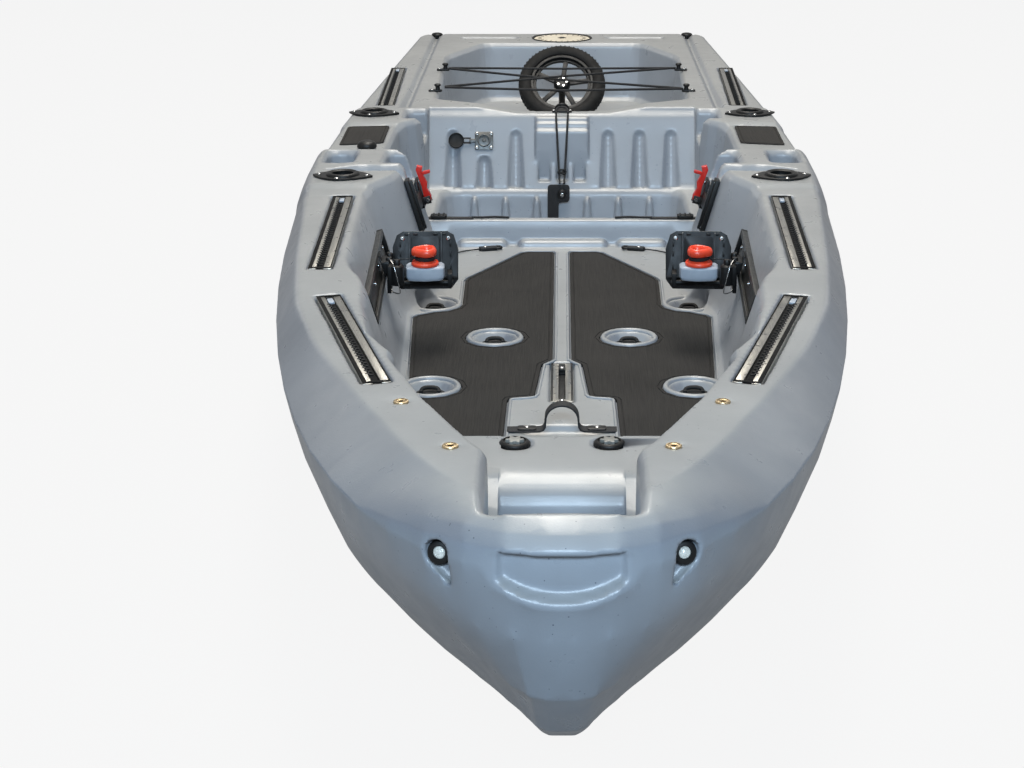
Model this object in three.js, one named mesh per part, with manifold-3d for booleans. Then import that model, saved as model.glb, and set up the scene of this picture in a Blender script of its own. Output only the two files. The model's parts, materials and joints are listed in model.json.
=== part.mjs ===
// A sit-on-top fishing kayak, about twelve and a half feet long, in millimetres.
// +Z is up and the bow points along -Y. The origin is midships, on the ground under the keel.
import * as THREE from 'three';
import { mergeVertices } from 'three/addons/utils/BufferGeometryUtils.js';
import Module from 'manifold-3d';

const wasm = await Module();
wasm.setup();

// Driving dimensions of the hull
const LENGTH = 3810;
const HALF_LENGTH = LENGTH / 2;
const HALF_BEAM = 520;
const WIDEST_Y = 195;
const STERN_HALF_BEAM = 440;
const STEM_HALF_WIDTH = 16;
const FOREFOOT_REACH = 345;
const WIDEST_HEIGHT = 345;
const GAP = 0.3;

// Deck heights
const DECK = 385;
const BOW_RISE = 33;
const BOW_RISE_START = -1100;
const DECK_STEPS = [
  { y: -235, height: 393 },
  { y: 122, height: 377 },
  { y: 455, height: 384 },
  { y: 655, height: 375 },
];
const STEP_RUN = 20;
const STERN_RISE = 10;

// Heights of the floors of the wells
const FLOOR = 141;
const SEAT_RIM = 197;
const SEAT_WELL_FLOOR = 95;
const TANK_FLOOR = 215;
const BENCH = 250;
const BOW_SHELF = 300;
const TROUGH_FLOOR = 150;

// Where the wells begin and end along the boat
const BENCH_REAR = -1206;
const BENCH_FRONT = -1345;
const TROUGH_FRONT = -1848;
const TROUGH_HALF_WIDTH = 86;
const SEAT_WELL = { halfWidth: 284, front: 318, rear: 588 };
const RISER_Y = 282;
const BULKHEAD = { foot: 598, head: 672, headHeight: 368 };

// Fittings
const SCUPPERS = [
  { name: 'mid', x: 125, y: -400 },
  { name: 'bow', x: 226, y: -680 },
  { name: 'aft', x: 251, y: -180 },
];
const SCUPPER_BORE_RADIUS = 20;
const TRACK = { width: 38, height: 12, wall: 3, slot: 12, lip: 3 };
const TRACKS = [
  { name: 'bow', from: [356, -953], to: [239, -1381] },
  { name: 'mid', from: [411, -285], to: [389, -800] },
  { name: 'stern', from: [442, 1262], to: [426, 712] },
];
const FLOOR_TRACK = { front: -750, rear: -545, stop: 11 };
const ROD_HOLDERS = [
  { name: 'mid', x: 426, y: -158 },
  { name: 'aft', x: 437, y: 560 },
];
const ROD_TUBE = { outer: 25, bore: 22, depth: 190, lean: 20, flange: 4 };
const PAD_THICKNESS = 6;
const PAD_POCKET = 5;

const finishes = {
  hull: new THREE.MeshStandardMaterial({ color: 0x8b929a, roughness: 0.55, metalness: 0 }),
  foam: new THREE.MeshStandardMaterial({ color: 0x35332f, roughness: 0.95, metalness: 0 }),
  black: new THREE.MeshStandardMaterial({ color: 0x17171a, roughness: 0.5, metalness: 0 }),
  rubber: new THREE.MeshStandardMaterial({ color: 0x1b1b1b, roughness: 0.8, metalness: 0 }),
  alloy: new THREE.MeshStandardMaterial({ color: 0xb9b8b2, roughness: 0.35, metalness: 1 }),
  brass: new THREE.MeshStandardMaterial({ color: 0xc7a368, roughness: 0.35, metalness: 1 }),
  orange: new THREE.MeshStandardMaterial({ color: 0xf04a26, roughness: 0.4, metalness: 0 }),
  red: new THREE.MeshStandardMaterial({ color: 0xe83a22, roughness: 0.4, metalness: 0 }),
  bracket: new THREE.MeshStandardMaterial({ color: 0x93a7bd, roughness: 0.5, metalness: 0 }),
  cream: new THREE.MeshStandardMaterial({ color: 0xcdc6b4, roughness: 0.5, metalness: 0 }),
  lens: new THREE.MeshStandardMaterial({ color: 0xe9e9e6, roughness: 0.2, metalness: 0 }),
};

const kayak = new THREE.Group();

// Small helpers on numbers and points

const clamp = (value) => Math.min(1, Math.max(0, value));
const radians = (degrees) => THREE.MathUtils.degToRad(degrees);
const point = ([x, y]) => new THREE.Vector2(x, y);

// The height of the side deck at a place along the boat
function deckHeight(y) {
  const rise = clamp((BOW_RISE_START - y) / (HALF_LENGTH + BOW_RISE_START));
  let height = DECK + BOW_RISE * rise ** 1.5;
  for (const step of DECK_STEPS) {
    const share = clamp((y - step.y) / STEP_RUN + 0.5);
    height += (step.height - height) * share;
  }
  const lastStep = DECK_STEPS.at(-1).y;
  return height + STERN_RISE * clamp((y - lastStep) / (HALF_LENGTH - lastStep));
}

// Rounds the corners of a closed outline, with a step for each bit of turn. A corner that hardly
// turns is kept as it is. The turns can be those of the outline before it grew, so that every
// level of a stack gets as many points.
const TURN_PER_STEP = 0.55;
const COARSE = 0.8;
const ONE_STEP = 1.6;
function rounded(corners, radius, turnPerStep = TURN_PER_STEP, turns = turnsOf(corners)) {
  const path = [];
  corners.forEach((corner, i) => {
    const toBefore = corners[(i + corners.length - 1) % corners.length].clone().sub(corner);
    const toAfter = corners[(i + 1) % corners.length].clone().sub(corner);
    const steps = Math.round(turns[i] / turnPerStep);
    if (!steps) {
      path.push(corner);
      return;
    }
    const cut = Math.min(radius, toBefore.length() * 0.48, toAfter.length() * 0.48);
    const start = toBefore.setLength(cut).add(corner);
    const end = toAfter.setLength(cut).add(corner);
    path.push(...new THREE.QuadraticBezierCurve(start, corner, end).getPoints(steps));
  });
  return path;
}

// How far a closed outline turns at each corner
function turnsOf(corners) {
  return corners.map((corner, i) => {
    const toBefore = corners[(i + corners.length - 1) % corners.length].clone().sub(corner);
    const toAfter = corners[(i + 1) % corners.length].clone().sub(corner);
    return Math.PI - toBefore.angleTo(toAfter);
  });
}

// Moves each side of an outline outwards by the same distance, or inwards where it is negative
function grow(outline, distance) {
  const count = outline.length;
  return outline.map((corner, i) => {
    const before = outline[(i + count - 1) % count];
    const after = outline[(i + 1) % count];
    const sideIn = corner.clone().sub(before).normalize();
    const sideOut = after.clone().sub(corner).normalize();
    const outward = new THREE.Vector2(sideIn.y + sideOut.y, -sideIn.x - sideOut.x).normalize();
    const miter = Math.max(0.5, outward.x * sideIn.y - outward.y * sideIn.x);
    return corner.clone().addScaledVector(outward, distance / miter);
  });
}

// Completes the right half of an outline, listed from bow to stern, with its mirror image
function bothHalves(half) {
  const right = half.map(point);
  const left = half.map(([x, y]) => new THREE.Vector2(-x, y)).reverse();
  return [...right, ...left];
}

function rectangle(x0, y0, x1, y1) {
  return [[x0, y0], [x1, y0], [x1, y1], [x0, y1]].map(point);
}

// Geometry makers

// Skins a list of closed rings of equal length, and caps the first and the last
function loft(rings) {
  const count = rings[0].length;
  const index = [];
  for (let ring = 0; ring < rings.length - 1; ring += 1) {
    for (let i = 0; i < count; i += 1) {
      const a = ring * count + i;
      const b = ring * count + (i + 1) % count;
      index.push(a, b, b + count, a, b + count, a + count);
    }
  }
  const capOf = (ring) => THREE.ShapeUtils.triangulateShape(ring.map((p) => point([p.x, p.y])), []);
  const last = (rings.length - 1) * count;
  capOf(rings[0]).forEach(([a, b, c]) => index.push(c, b, a));
  capOf(rings.at(-1)).forEach(([a, b, c]) => index.push(last + a, last + b, last + c));
  const geometry = new THREE.BufferGeometry();
  const places = rings.flat().flatMap((p) => [p.x, p.y, p.z]);
  geometry.setAttribute('position', new THREE.Float32BufferAttribute(places, 3));
  geometry.setIndex(index);
  return geometry;
}

// Stacks a plan outline into a solid: each level has a height, or a height along the boat, and a
// growth. The corners are rounded after they have grown.
function stack(corners, levels, radius = 0, turnPerStep = TURN_PER_STEP) {
  const turns = turnsOf(corners);
  return loft(levels.map(([height, growth]) => {
    const grown = growth ? grow(corners, growth) : corners;
    return (radius ? rounded(grown, radius, turnPerStep, turns) : grown).map((p) => {
      const z = typeof height === 'function' ? height(p.y) : height;
      return new THREE.Vector3(p.x, p.y, z);
    });
  }));
}

// Extrudes an outline drawn in the YZ plane along X, from -halfWidth to halfWidth
function acrossBoat(profile, halfWidth) {
  const geometry = new THREE.ExtrudeGeometry(new THREE.Shape(profile), {
    depth: 2 * halfWidth,
    bevelEnabled: false,
  });
  geometry.translate(0, 0, -halfWidth);
  const toBoat = new THREE.Matrix4().set(0, 0, 1, 0, 1, 0, 0, 0, 0, 1, 0, 0, 0, 0, 0, 1);
  return geometry.applyMatrix4(toBoat);
}

function extrude(outline, depth, holes = []) {
  const shape = new THREE.Shape(outline);
  shape.holes = holes.map((hole) => new THREE.Path(hole));
  return new THREE.ExtrudeGeometry(shape, { depth, bevelEnabled: false });
}

// Turns a profile of [radius, height] pairs round the Z axis
function turned(profile, segments = 16) {
  const geometry = new THREE.LatheGeometry(profile.map(point), segments);
  return geometry.rotateX(Math.PI / 2);
}

function circle(x, y, radius, segments = 16) {
  return Array.from({ length: segments }, (_, i) => {
    const angle = i / segments * 2 * Math.PI;
    return new THREE.Vector2(x + radius * Math.cos(angle), y + radius * Math.sin(angle));
  });
}

function box(x0, y0, z0, x1, y1, z1) {
  return extrude(rectangle(x0, y0, x1, y1), z1 - z0).translate(0, 0, z0);
}

// A round bar or cord through the given points
function cord(route, radius, sides = 8) {
  const path = route.map(([x, y, z]) => new THREE.Vector3(x, y, z));
  const heading = (i) => {
    const from = path[Math.max(0, i - 1)];
    const to = path[Math.min(path.length - 1, i + 1)];
    return to.clone().sub(from).normalize();
  };
  const rings = [];
  let side = new THREE.Vector3(0.31, 0.42, 0.85);
  path.forEach((place, i) => {
    const ahead = heading(i);
    side = side.clone().addScaledVector(ahead, -side.dot(ahead)).normalize();
    const other = ahead.clone().cross(side);
    rings.push(Array.from({ length: sides }, (_, k) => {
      const angle = k / sides * 2 * Math.PI;
      return place.clone()
        .addScaledVector(side, radius * Math.cos(angle))
        .addScaledVector(other, radius * Math.sin(angle));
    }));
  });
  const geometry = loft(rings);
  const count = sides * rings.length;
  const kept = Array.from(geometry.index.array).slice(0, (rings.length - 1) * sides * 6);
  for (let k = 1; k < sides - 1; k += 1) {
    kept.push(0, k + 1, k);
    kept.push(count - sides, count - sides + k, count - sides + k + 1);
  }
  geometry.setIndex(kept);
  return geometry;
}

// Joining and cutting

function solid(geometry) {
  const bare = geometry.clone();
  bare.deleteAttribute('normal');
  bare.deleteAttribute('uv');
  const merged = mergeVertices(bare, 1e-3);
  const triangles = [];
  const index = merged.index.array;
  for (let i = 0; i < index.length; i += 3) {
    const [a, b, c] = [index[i], index[i + 1], index[i + 2]];
    if (a !== b && b !== c && c !== a) triangles.push(a, b, c);
  }
  return new wasm.Manifold(new wasm.Mesh({
    numProp: 3,
    vertProperties: new Float32Array(merged.attributes.position.array),
    triVerts: new Uint32Array(triangles),
  }));
}

function geometryOf(body) {
  const mesh = body.getMesh();
  const geometry = new THREE.BufferGeometry();
  geometry.setAttribute('position', new THREE.Float32BufferAttribute(mesh.vertProperties, 3));
  geometry.setIndex(Array.from(mesh.triVerts));
  return geometry;
}

function joined(...geometries) {
  return geometries.map(solid).reduce((sum, next) => sum.add(next));
}

// The mirror image of a geometry in the boat's centre plane
function mirrored(geometry) {
  const copy = mergeVertices(geometry.clone(), 1e-3);
  copy.applyMatrix4(new THREE.Matrix4().makeScale(-1, 1, 1));
  const index = Array.from(copy.index.array);
  for (let i = 0; i < index.length; i += 3) {
    [index[i], index[i + 1]] = [index[i + 1], index[i]];
  }
  copy.setIndex(index);
  return copy;
}

function onBothSides(geometry) {
  return [geometry, mirrored(geometry)];
}

// Adds one named piece to the boat
function add(name, shape, finish) {
  const geometry = shape instanceof THREE.BufferGeometry ? shape : geometryOf(shape);
  const mesh = new THREE.Mesh(geometry, finish);
  mesh.name = name;
  kayak.add(mesh);
  return mesh;
}

// Adds a piece modelled on the right-hand side, and its mirror image on the left
function addPair(name, shape, finish) {
  const geometry = shape instanceof THREE.BufferGeometry ? shape : geometryOf(shape);
  add(`${name}_right`, geometry, finish);
  add(`${name}_left`, mirrored(geometry), finish);
}

// The outside of the hull

// Rings of the skin from the keel up: a fixed height, or a drop below the deck edge and an inset
const SHOULDER = 33;
const SHOULDER_AT_STERN = 24;
const SKIN_LEVELS = [
  { height: 0 }, { height: 10 }, { height: 30 }, { height: 65 }, { height: 120 }, { height: 200 },
  { height: 285 },
  { drop: 52, inset: 0 }, { drop: 32, inset: 0.1 }, { drop: 16, inset: 0.33 },
  { drop: 5, inset: 0.66 }, { drop: 0, inset: 1 },
];
const STERN_CORNER = 40;
const KEEL_LINES = [
  { share: 0.62, lift: 0 }, { share: 0.46, lift: 1 }, { share: 0.2, lift: 0.85 }, { share: 0.07, lift: 0 },
];
const TUNNEL_LIFT = 20;
const STERN_ROCKER = 45;

// How far the stem has come back from the bow at a height
function stemSetback(height) {
  return FOREFOOT_REACH * (1 - Math.min(1, height / 400)) ** 3.2;
}

function keelHeight(y) {
  return STERN_ROCKER * clamp((y - 1250) / (HALF_LENGTH - 1250)) ** 2;
}

// One ring of the skin at one station, given as a share of the way from the stem to the widest place
function skinPoint(level, station) {
  const isShoulder = level.drop !== undefined;
  const height = isShoulder ? WIDEST_HEIGHT : level.height;
  const fullness = 1 + clamp(height / WIDEST_HEIGHT) ** 0.8;
  const turn = isShoulder ? 0 : 0.25 * (1 - height / WIDEST_HEIGHT) ** 2.6;
  const aft = station.y > WIDEST_Y;
  const shoulder = SHOULDER_AT_STERN + SHOULDER * (aft ? 0 : 1 - station.share ** 2);
  const inset = isShoulder ? level.inset * shoulder : 0;
  const stem = -HALF_LENGTH + (isShoulder ? inset : stemSetback(height));
  const y = aft ? station.y - inset * (station.y - WIDEST_Y) / (HALF_LENGTH - WIDEST_Y)
    : stem + (WIDEST_Y - stem) * station.share ** 2;
  let x;
  const beam = HALF_BEAM * (1 - turn) - inset;
  if (aft) {
    const along = (station.y - WIDEST_Y) / (HALF_LENGTH - WIDEST_Y);
    x = beam - (HALF_BEAM - STERN_HALF_BEAM) * along ** 1.2;
    const intoCorner = Math.max(0, station.y - (HALF_LENGTH - STERN_CORNER));
    x -= STERN_CORNER - Math.sqrt(STERN_CORNER ** 2 - intoCorner ** 2);
  } else {
    const along = 1 - station.share ** 2;
    x = STEM_HALF_WIDTH + (beam - STEM_HALF_WIDTH) * (1 - along ** 2) ** (1 / fullness);
  }
  const keel = keelHeight(y);
  const z = isShoulder ? deckHeight(y) - level.drop : keel + height * (1 - keel / WIDEST_HEIGHT);
  return new THREE.Vector3(x, y, z);
}

function hullStations() {
  const bowStations = 16;
  const shares = Array.from({ length: bowStations + 1 }, (_, i) => i / bowStations);
  const stepEdges = DECK_STEPS.flatMap((step) => [step.y - STEP_RUN / 2, step.y + STEP_RUN / 2]);
  const shareAt = (y) => Math.sqrt((y + HALF_LENGTH) / (WIDEST_Y + HALF_LENGTH));
  shares.push(...stepEdges.filter((y) => y < WIDEST_Y).map(shareAt));
  const forward = shares.sort((a, b) => a - b).map((share) => ({ share, y: 0 }));
  const aftPlaces = [...stepEdges.filter((y) => y > WIDEST_Y), 1000, 1400, 1700];
  aftPlaces.push(HALF_LENGTH - STERN_CORNER, HALF_LENGTH - 15, HALF_LENGTH - 4, HALF_LENGTH);
  return [...forward, ...aftPlaces.sort((a, b) => a - b).map((y) => ({ share: 1, y }))];
}

function hullSkin() {
  const sections = hullStations().map((station) => {
    const right = SKIN_LEVELS.map((level) => skinPoint(level, station));
    const edge = right[0];
    const fade = clamp((edge.y + 1300) / 500);
    const bottom = KEEL_LINES.map(({ share, lift }) => (
      new THREE.Vector3(edge.x * share, edge.y, edge.z + TUNNEL_LIFT * lift * fade)));
    const half = [...bottom.reverse(), ...right];
    const left = half.map((p) => new THREE.Vector3(-p.x, p.y, p.z)).reverse();
    return [...half, ...left];
  });
  const count = sections[0].length;
  const index = [];
  for (let s = 0; s < sections.length - 1; s += 1) {
    for (let i = 0; i < count; i += 1) {
      const a = s * count + i;
      const b = s * count + (i + 1) % count;
      index.push(a, b + count, b, a, a + count, b + count);
    }
  }
  for (let i = 0; i < count / 2 - 1; i += 1) {
    const mate = count - 1 - i;
    index.push(i, i + 1, mate - 1, i, mate - 1, mate);
  }
  const last = (sections.length - 1) * count;
  const transom = sections.at(-1).map((p) => point([p.x, p.z]));
  THREE.ShapeUtils.triangulateShape(transom, []).forEach(([a, b, c]) => {
    index.push(last + c, last + b, last + a);
  });
  const geometry = new THREE.BufferGeometry();
  const places = sections.flat().flatMap((p) => [p.x, p.y, p.z]);
  geometry.setAttribute('position', new THREE.Float32BufferAttribute(places, 3));
  geometry.setIndex(index);
  return solid(geometry);
}

// The wells moulded into the deck

// The last levels of a well's cutter: a rounded lip at the deck, then clear of it
const LIP_DEPTH = 12;
const deckLip = [
  [(y) => deckHeight(y) - LIP_DEPTH, 0],
  [(y) => deckHeight(y) + 1, 9],
  [(y) => deckHeight(y) + 60, 9],
];

const FOOT_WELL_EDGE = [
  [228, -1236], [270, -1141], [298, -983], [308, -857], [346, -761], [370, -240], [318, -112],
  [318, 104], [366, 140], [366, 340],
];
const SEAT_AREA_EDGE = [[372, 146], [372, 456], [320, 510], [320, 610]];
const BOW_EDGE = [[72, -1668], [100, -1616], [170, -1439], [234, -1244], [226, -1184]];

// The walls of the foot well lean: the slope at a place, and the inset from the deck edge at a height
const WALL = { inset: 60, low: FLOOR + 26 };
const wallTop = (y) => deckHeight(y) - LIP_DEPTH;
const wallLean = (y) => Math.atan(WALL.inset / (wallTop(y) - WALL.low));
const wallInset = (y, z) => (wallTop(y) - z) * Math.tan(wallLean(y));

function footWell() {
  const levels = [[FLOOR, -WALL.inset - 24], [FLOOR + 8, -WALL.inset - 10], [WALL.low, -WALL.inset]];
  const riser = stack(bothHalves([[222, 58], [260, 138], [260, RISER_Y]]), [
    [FLOOR, -4], [FLOOR + 8, 0], [SEAT_RIM - 4, 3], [SEAT_RIM + 2, 9], [SEAT_RIM + 60, 9],
  ], 20);
  return joined(stack(bothHalves(FOOT_WELL_EDGE), [...levels, ...deckLip], 26), riser);
}

// Three rounded bars across the rear of the floor
function floorBars() {
  const bars = [[-96, 100], [-230, -122], [122, 230]];
  return bars.map(([from, to]) => stack(rectangle(from, RISER_Y - 24, to, RISER_Y + 6), [
    [FLOOR - 4, 0], [FLOOR + 8, -1], [FLOOR + 13, -4], [FLOOR + 15, -9],
  ], 9, COARSE));
}

function seatArea() {
  return stack(bothHalves(SEAT_AREA_EDGE), [[SEAT_RIM, -26], [SEAT_RIM + 8, -18], ...deckLip], 24);
}

// The bulkhead behind the seat leans back, with three flutes each side of a stepped centre block
const FLUTES = [
  { x: 110, top: 338 }, { x: 185, top: 338, leftTop: 275 }, { x: 260, top: 338 },
];
function bulkhead() {
  const { foot, head, headHeight } = BULKHEAD;
  const slope = (head - foot) / (headHeight - SEAT_RIM);
  const above = 470;
  const profile = [
    [500, SEAT_RIM], [foot - 8, SEAT_RIM], [foot, SEAT_RIM + 10], [head - 2, headHeight - 10],
    [head + 10, headHeight + 4], [head + 10, above], [500, above],
  ].map(point);
  const plan = stack(bothHalves([[318, 480], [318, head + 60]]), [[100, 0], [500, 0]], 30);
  const face = solid(acrossBoat(profile, 330)).intersect(solid(plan));
  const block = solid(acrossBoat([
    [foot + 14, SEAT_RIM - 5], [foot + 32, 330], [foot + 44, 333], [foot + 46, 345],
    [foot + 56, 348], [foot + 58, 357], [head + 6, 360], [head + 40, 374], [head + 40, 190],
    [foot, 190],
  ].map(point), 64));
  const panels = [-42, 0, 42].map((x) => solid(box(x - 14, foot - 20, 214, x + 14, foot + 25, 318)));
  let cut = face.subtract(block);
  for (const panel of panels) cut = cut.add(panel);
  for (const flute of FLUTES) {
    for (const side of [-1, 1]) {
      const top = side < 0 && flute.leftTop ? flute.leftTop : flute.top;
      const rise = top - SEAT_RIM;
      const groove = turned([
        [0, 0], [20, 0], [16, rise - 14], [11, rise - 5], [0, rise],
      ], 10);
      groove.rotateX(-Math.atan(slope));
      groove.translate(side * flute.x, foot - 4, SEAT_RIM + 6);
      cut = cut.add(solid(groove));
    }
  }
  return cut;
}

// The deep well under the seat, with raised ribs down its rear wall
function seatWell() {
  const { halfWidth, front, rear } = SEAT_WELL;
  let well = solid(stack(bothHalves([[halfWidth, front], [halfWidth, rear]]), [
    [SEAT_WELL_FLOOR, -24], [SEAT_WELL_FLOOR + 8, -14], [SEAT_RIM - 12, -3], [SEAT_RIM - 3, 2],
    [SEAT_RIM + 1, 8], [SEAT_RIM + 30, 8],
  ], 44));
  for (const x of [60, 134, 208]) {
    const rib = stack(rectangle(x - 9, rear - 26, x + 9, rear + 20), [
      [SEAT_WELL_FLOOR - 5, 4], [SEAT_RIM - 26, -2], [SEAT_RIM - 16, -6],
    ], 5, ONE_STEP);
    for (const side of onBothSides(rib)) well = well.subtract(solid(side));
  }
  return well;
}

function tankWell() {
  const corners = [
    ...bothHalves([[150, 718], [262, 782], [303, 800], [322, 1462], [232, 1696]]),
    point([0, 702]),
  ];
  return stack(corners, [[TANK_FLOOR, -26], [TANK_FLOOR + 12, -13], ...deckLip], 26);
}

// The shelf, the bench and the trough between the foot well and the bow rim
function bowWells() {
  const shelf = stack(bothHalves(BOW_EDGE), [
    [BOW_SHELF, -10], [BOW_SHELF + 10, -3], [(y) => deckHeight(y) - 17, 0], ...deckLip.slice(1),
  ], 14);
  const above = 500;
  const roll = new THREE.QuadraticBezierCurve(
    new THREE.Vector2(BENCH_FRONT - 40, 200), new THREE.Vector2(BENCH_FRONT - 32, BENCH),
    new THREE.Vector2(BENCH_FRONT + 20, BENCH),
  ).getPoints(5);
  const profile = [
    point([BENCH_REAR + 30, above]), point([TROUGH_FRONT - 30, above]),
    point([TROUGH_FRONT - 30, 300]), point([TROUGH_FRONT + 6, 274]), point([TROUGH_FRONT + 50, 218]),
    point([TROUGH_FRONT + 110, 172]), point([TROUGH_FRONT + 200, TROUGH_FLOOR]),
    point([BENCH_FRONT - 46, TROUGH_FLOOR]), ...roll, point([BENCH_REAR + 30, BENCH]),
  ];
  const plan = stack(bothHalves([
    [TROUGH_HALF_WIDTH - 4, TROUGH_FRONT], [TROUGH_HALF_WIDTH, -1705],
    [TROUGH_HALF_WIDTH, BENCH_REAR + 26],
  ]), [[120, -2], ...deckLip], 22);
  const trough = solid(plan).intersect(solid(acrossBoat(profile, 160)));
  return trough.add(solid(shelf));
}

// Small trays and grooves in the side decks, modelled on the right-hand side
function deckTrays() {
  const tray = (corners, radius, depth) => stack(corners, [
    [(y) => deckHeight(y) - depth, -8], [(y) => deckHeight(y) - depth + 8, -2], ...deckLip,
  ], radius, COARSE);
  const wave = [[300, -84], [392, -93], [462, -84], [398, -46], [362, -52], [300, -40]].map(point);
  return [
    tray(rectangle(427, -16, 485, 104), 20, 62),
    tray(rectangle(302, -16, 362, 100), 14, 66),
    tray(rectangle(303, 521, 365, 625), 14, 66),
    tray(wave, 10, 28),
  ];
}

// The grip hollow in the side of the hull, and the grooves of the stern deck
function outerHollows() {
  const grip = stack(rectangle(498, 138, 560, 397), [[236, -14], [252, -2], [420, -2]], 26);
  const slot = stack(rectangle(133, 1797, 303, 1819), [
    [(y) => deckHeight(y) - 6, -4], [(y) => deckHeight(y) + 20, 3],
  ], 10);
  const groove = stack(rectangle(375, 690, 380, HALF_LENGTH + 10), [
    [(y) => deckHeight(y) - 8, 0], [(y) => deckHeight(y) + 2, 12], [(y) => deckHeight(y) + 20, 12],
  ]);
  return [grip, slot, groove];
}

// The finger pocket in the bow, under the rim, with its lower lip
function bowPocket() {
  const outline = rounded([[-68, 366], [-62, 326], [0, 316], [62, 326], [68, 366]].map(point), 12, COARSE);
  const pocket = extrude(outline.reverse(), 120);
  pocket.rotateX(Math.PI / 2);
  pocket.translate(0, -1868, 0);
  return pocket;
}

function scupperCutter({ x, y }) {
  const cutter = turned([
    [0, -30], [SCUPPER_BORE_RADIUS, -30], [SCUPPER_BORE_RADIUS, FLOOR - 16], [30, FLOOR - 16],
    [42, FLOOR + 1], [42, FLOOR + 30], [0, FLOOR + 30],
  ], 12);
  return cutter.translate(x, y, 0);
}

// Foam pads and the pockets that hold them

const FLOOR_PAD_EDGE = [
  [17, 222], [17, -540], [36, -548], [47, -728], [92, -737], [95, -1160], [152, -1160],
  [186, -1120], [206, -985], [216, -870], [254, -772], [268, -594], [288, -262], [262, -246],
  [196, -196], [200, 0], [84, 222],
].map(point);
const DECK_PAD_EDGE = [[388, 252], [480, 230], [484, 434], [391, 446]].map(point);
const PAD_CORNER = 10;

function scupperRings(radius) {
  return SCUPPERS.map(({ x, y }) => solid(extrude(circle(x, y, radius, 12), 60).translate(0, 0, 110)));
}

function floorPad() {
  const low = FLOOR - PAD_POCKET + GAP;
  let pad = solid(stack(FLOOR_PAD_EDGE, [[low, 0], [low + PAD_THICKNESS, 0]], PAD_CORNER, COARSE));
  for (const ring of scupperRings(56)) pad = pad.subtract(ring);
  return pad;
}

function floorPadPocket() {
  const levels = [[FLOOR - PAD_POCKET, 2.5], [FLOOR + 20, 2.5]];
  let pocket = solid(stack(FLOOR_PAD_EDGE, levels, PAD_CORNER, COARSE));
  for (const ring of scupperRings(53)) pocket = pocket.subtract(ring);
  return pocket;
}

// Gear tracks: a slotted alloy channel let into the deck

const trackSection = (() => {
  const half = TRACK.width / 2;
  const slot = TRACK.slot / 2;
  const inner = half - 6;
  const under = TRACK.height - TRACK.lip;
  return [
    [-half, 0], [half, 0], [half, TRACK.height], [slot, TRACK.height], [slot, under],
    [inner, under], [inner, TRACK.wall], [-inner, TRACK.wall], [-inner, under], [-slot, under],
    [-slot, TRACK.height], [-half, TRACK.height],
  ].map(point);
})();

// Where a track lies: its rear end, its length, its turn in plan and its slope
function trackPlace({ from, to }) {
  const run = point(to).sub(point(from));
  const rise = deckHeight(to[1]) - deckHeight(from[1]);
  const matrix = new THREE.Matrix4().makeTranslation(from[0], from[1], deckHeight(from[1]));
  matrix.multiply(new THREE.Matrix4().makeRotationZ(Math.atan2(run.y, run.x) - Math.PI / 2));
  matrix.multiply(new THREE.Matrix4().makeRotationX(Math.atan2(rise, run.length())));
  return { matrix, length: Math.hypot(run.length(), rise) };
}

function trackBar(place) {
  const bar = extrude(trackSection, place.length);
  bar.rotateX(Math.PI / 2);
  bar.translate(0, place.length, -TRACK.height - 0.5);
  return bar.applyMatrix4(place.matrix);
}

function trackPocket(place) {
  const half = TRACK.width / 2 + 2.5;
  const cutter = stack(rectangle(-half, -3, half, place.length + 3), [
    [-TRACK.height - 0.5 - GAP, 0], [-2, 0], [3, 2], [40, 2],
  ], 4, ONE_STEP);
  return cutter.applyMatrix4(place.matrix);
}

const floorTrackPlace = {
  matrix: new THREE.Matrix4().makeTranslation(0, FLOOR_TRACK.front, FLOOR),
  length: FLOOR_TRACK.rear - FLOOR_TRACK.front,
};

// The floor track has a stop at each end, so its slot is cut into a plain bar
function floorTrackBar() {
  const { matrix, length } = floorTrackPlace;
  const { stop } = FLOOR_TRACK;
  const half = TRACK.width / 2;
  const slot = TRACK.slot / 2;
  const inner = half - 6;
  const under = TRACK.height - TRACK.lip;
  const slotSection = [
    [-slot, TRACK.height + 1], [-slot, under], [-inner, under], [-inner, TRACK.wall],
    [inner, TRACK.wall], [inner, under], [slot, under], [slot, TRACK.height + 1],
  ].map(point);
  const laid = (section, run, end) => {
    const bar = extrude(section, run).rotateX(Math.PI / 2);
    return solid(bar.translate(0, end, -TRACK.height - 0.5));
  };
  const bar = laid(rectangle(-half, 0, half, TRACK.height), length, length);
  return geometryOf(bar.subtract(laid(slotSection, length - 2 * stop, length - stop))).applyMatrix4(matrix);
}

// Flush rod holders: a pointed plate over a tube that leans aft

function rodMatrix({ x, y }) {
  const top = deckHeight(y) + GAP;
  return new THREE.Matrix4().makeTranslation(x, y, top);
}

function rodPlate() {
  const plate = new THREE.Shape();
  plate.moveTo(-59, -8);
  plate.quadraticCurveTo(-30, -38, 8, -40);
  plate.quadraticCurveTo(44, -34, 59, 6);
  plate.quadraticCurveTo(34, 40, -4, 41);
  plate.quadraticCurveTo(-42, 34, -59, -8);
  return plate.getPoints(4).slice(0, -1);
}

function leaning(geometry) {
  return geometry.rotateX(radians(-ROD_TUBE.lean));
}

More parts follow.
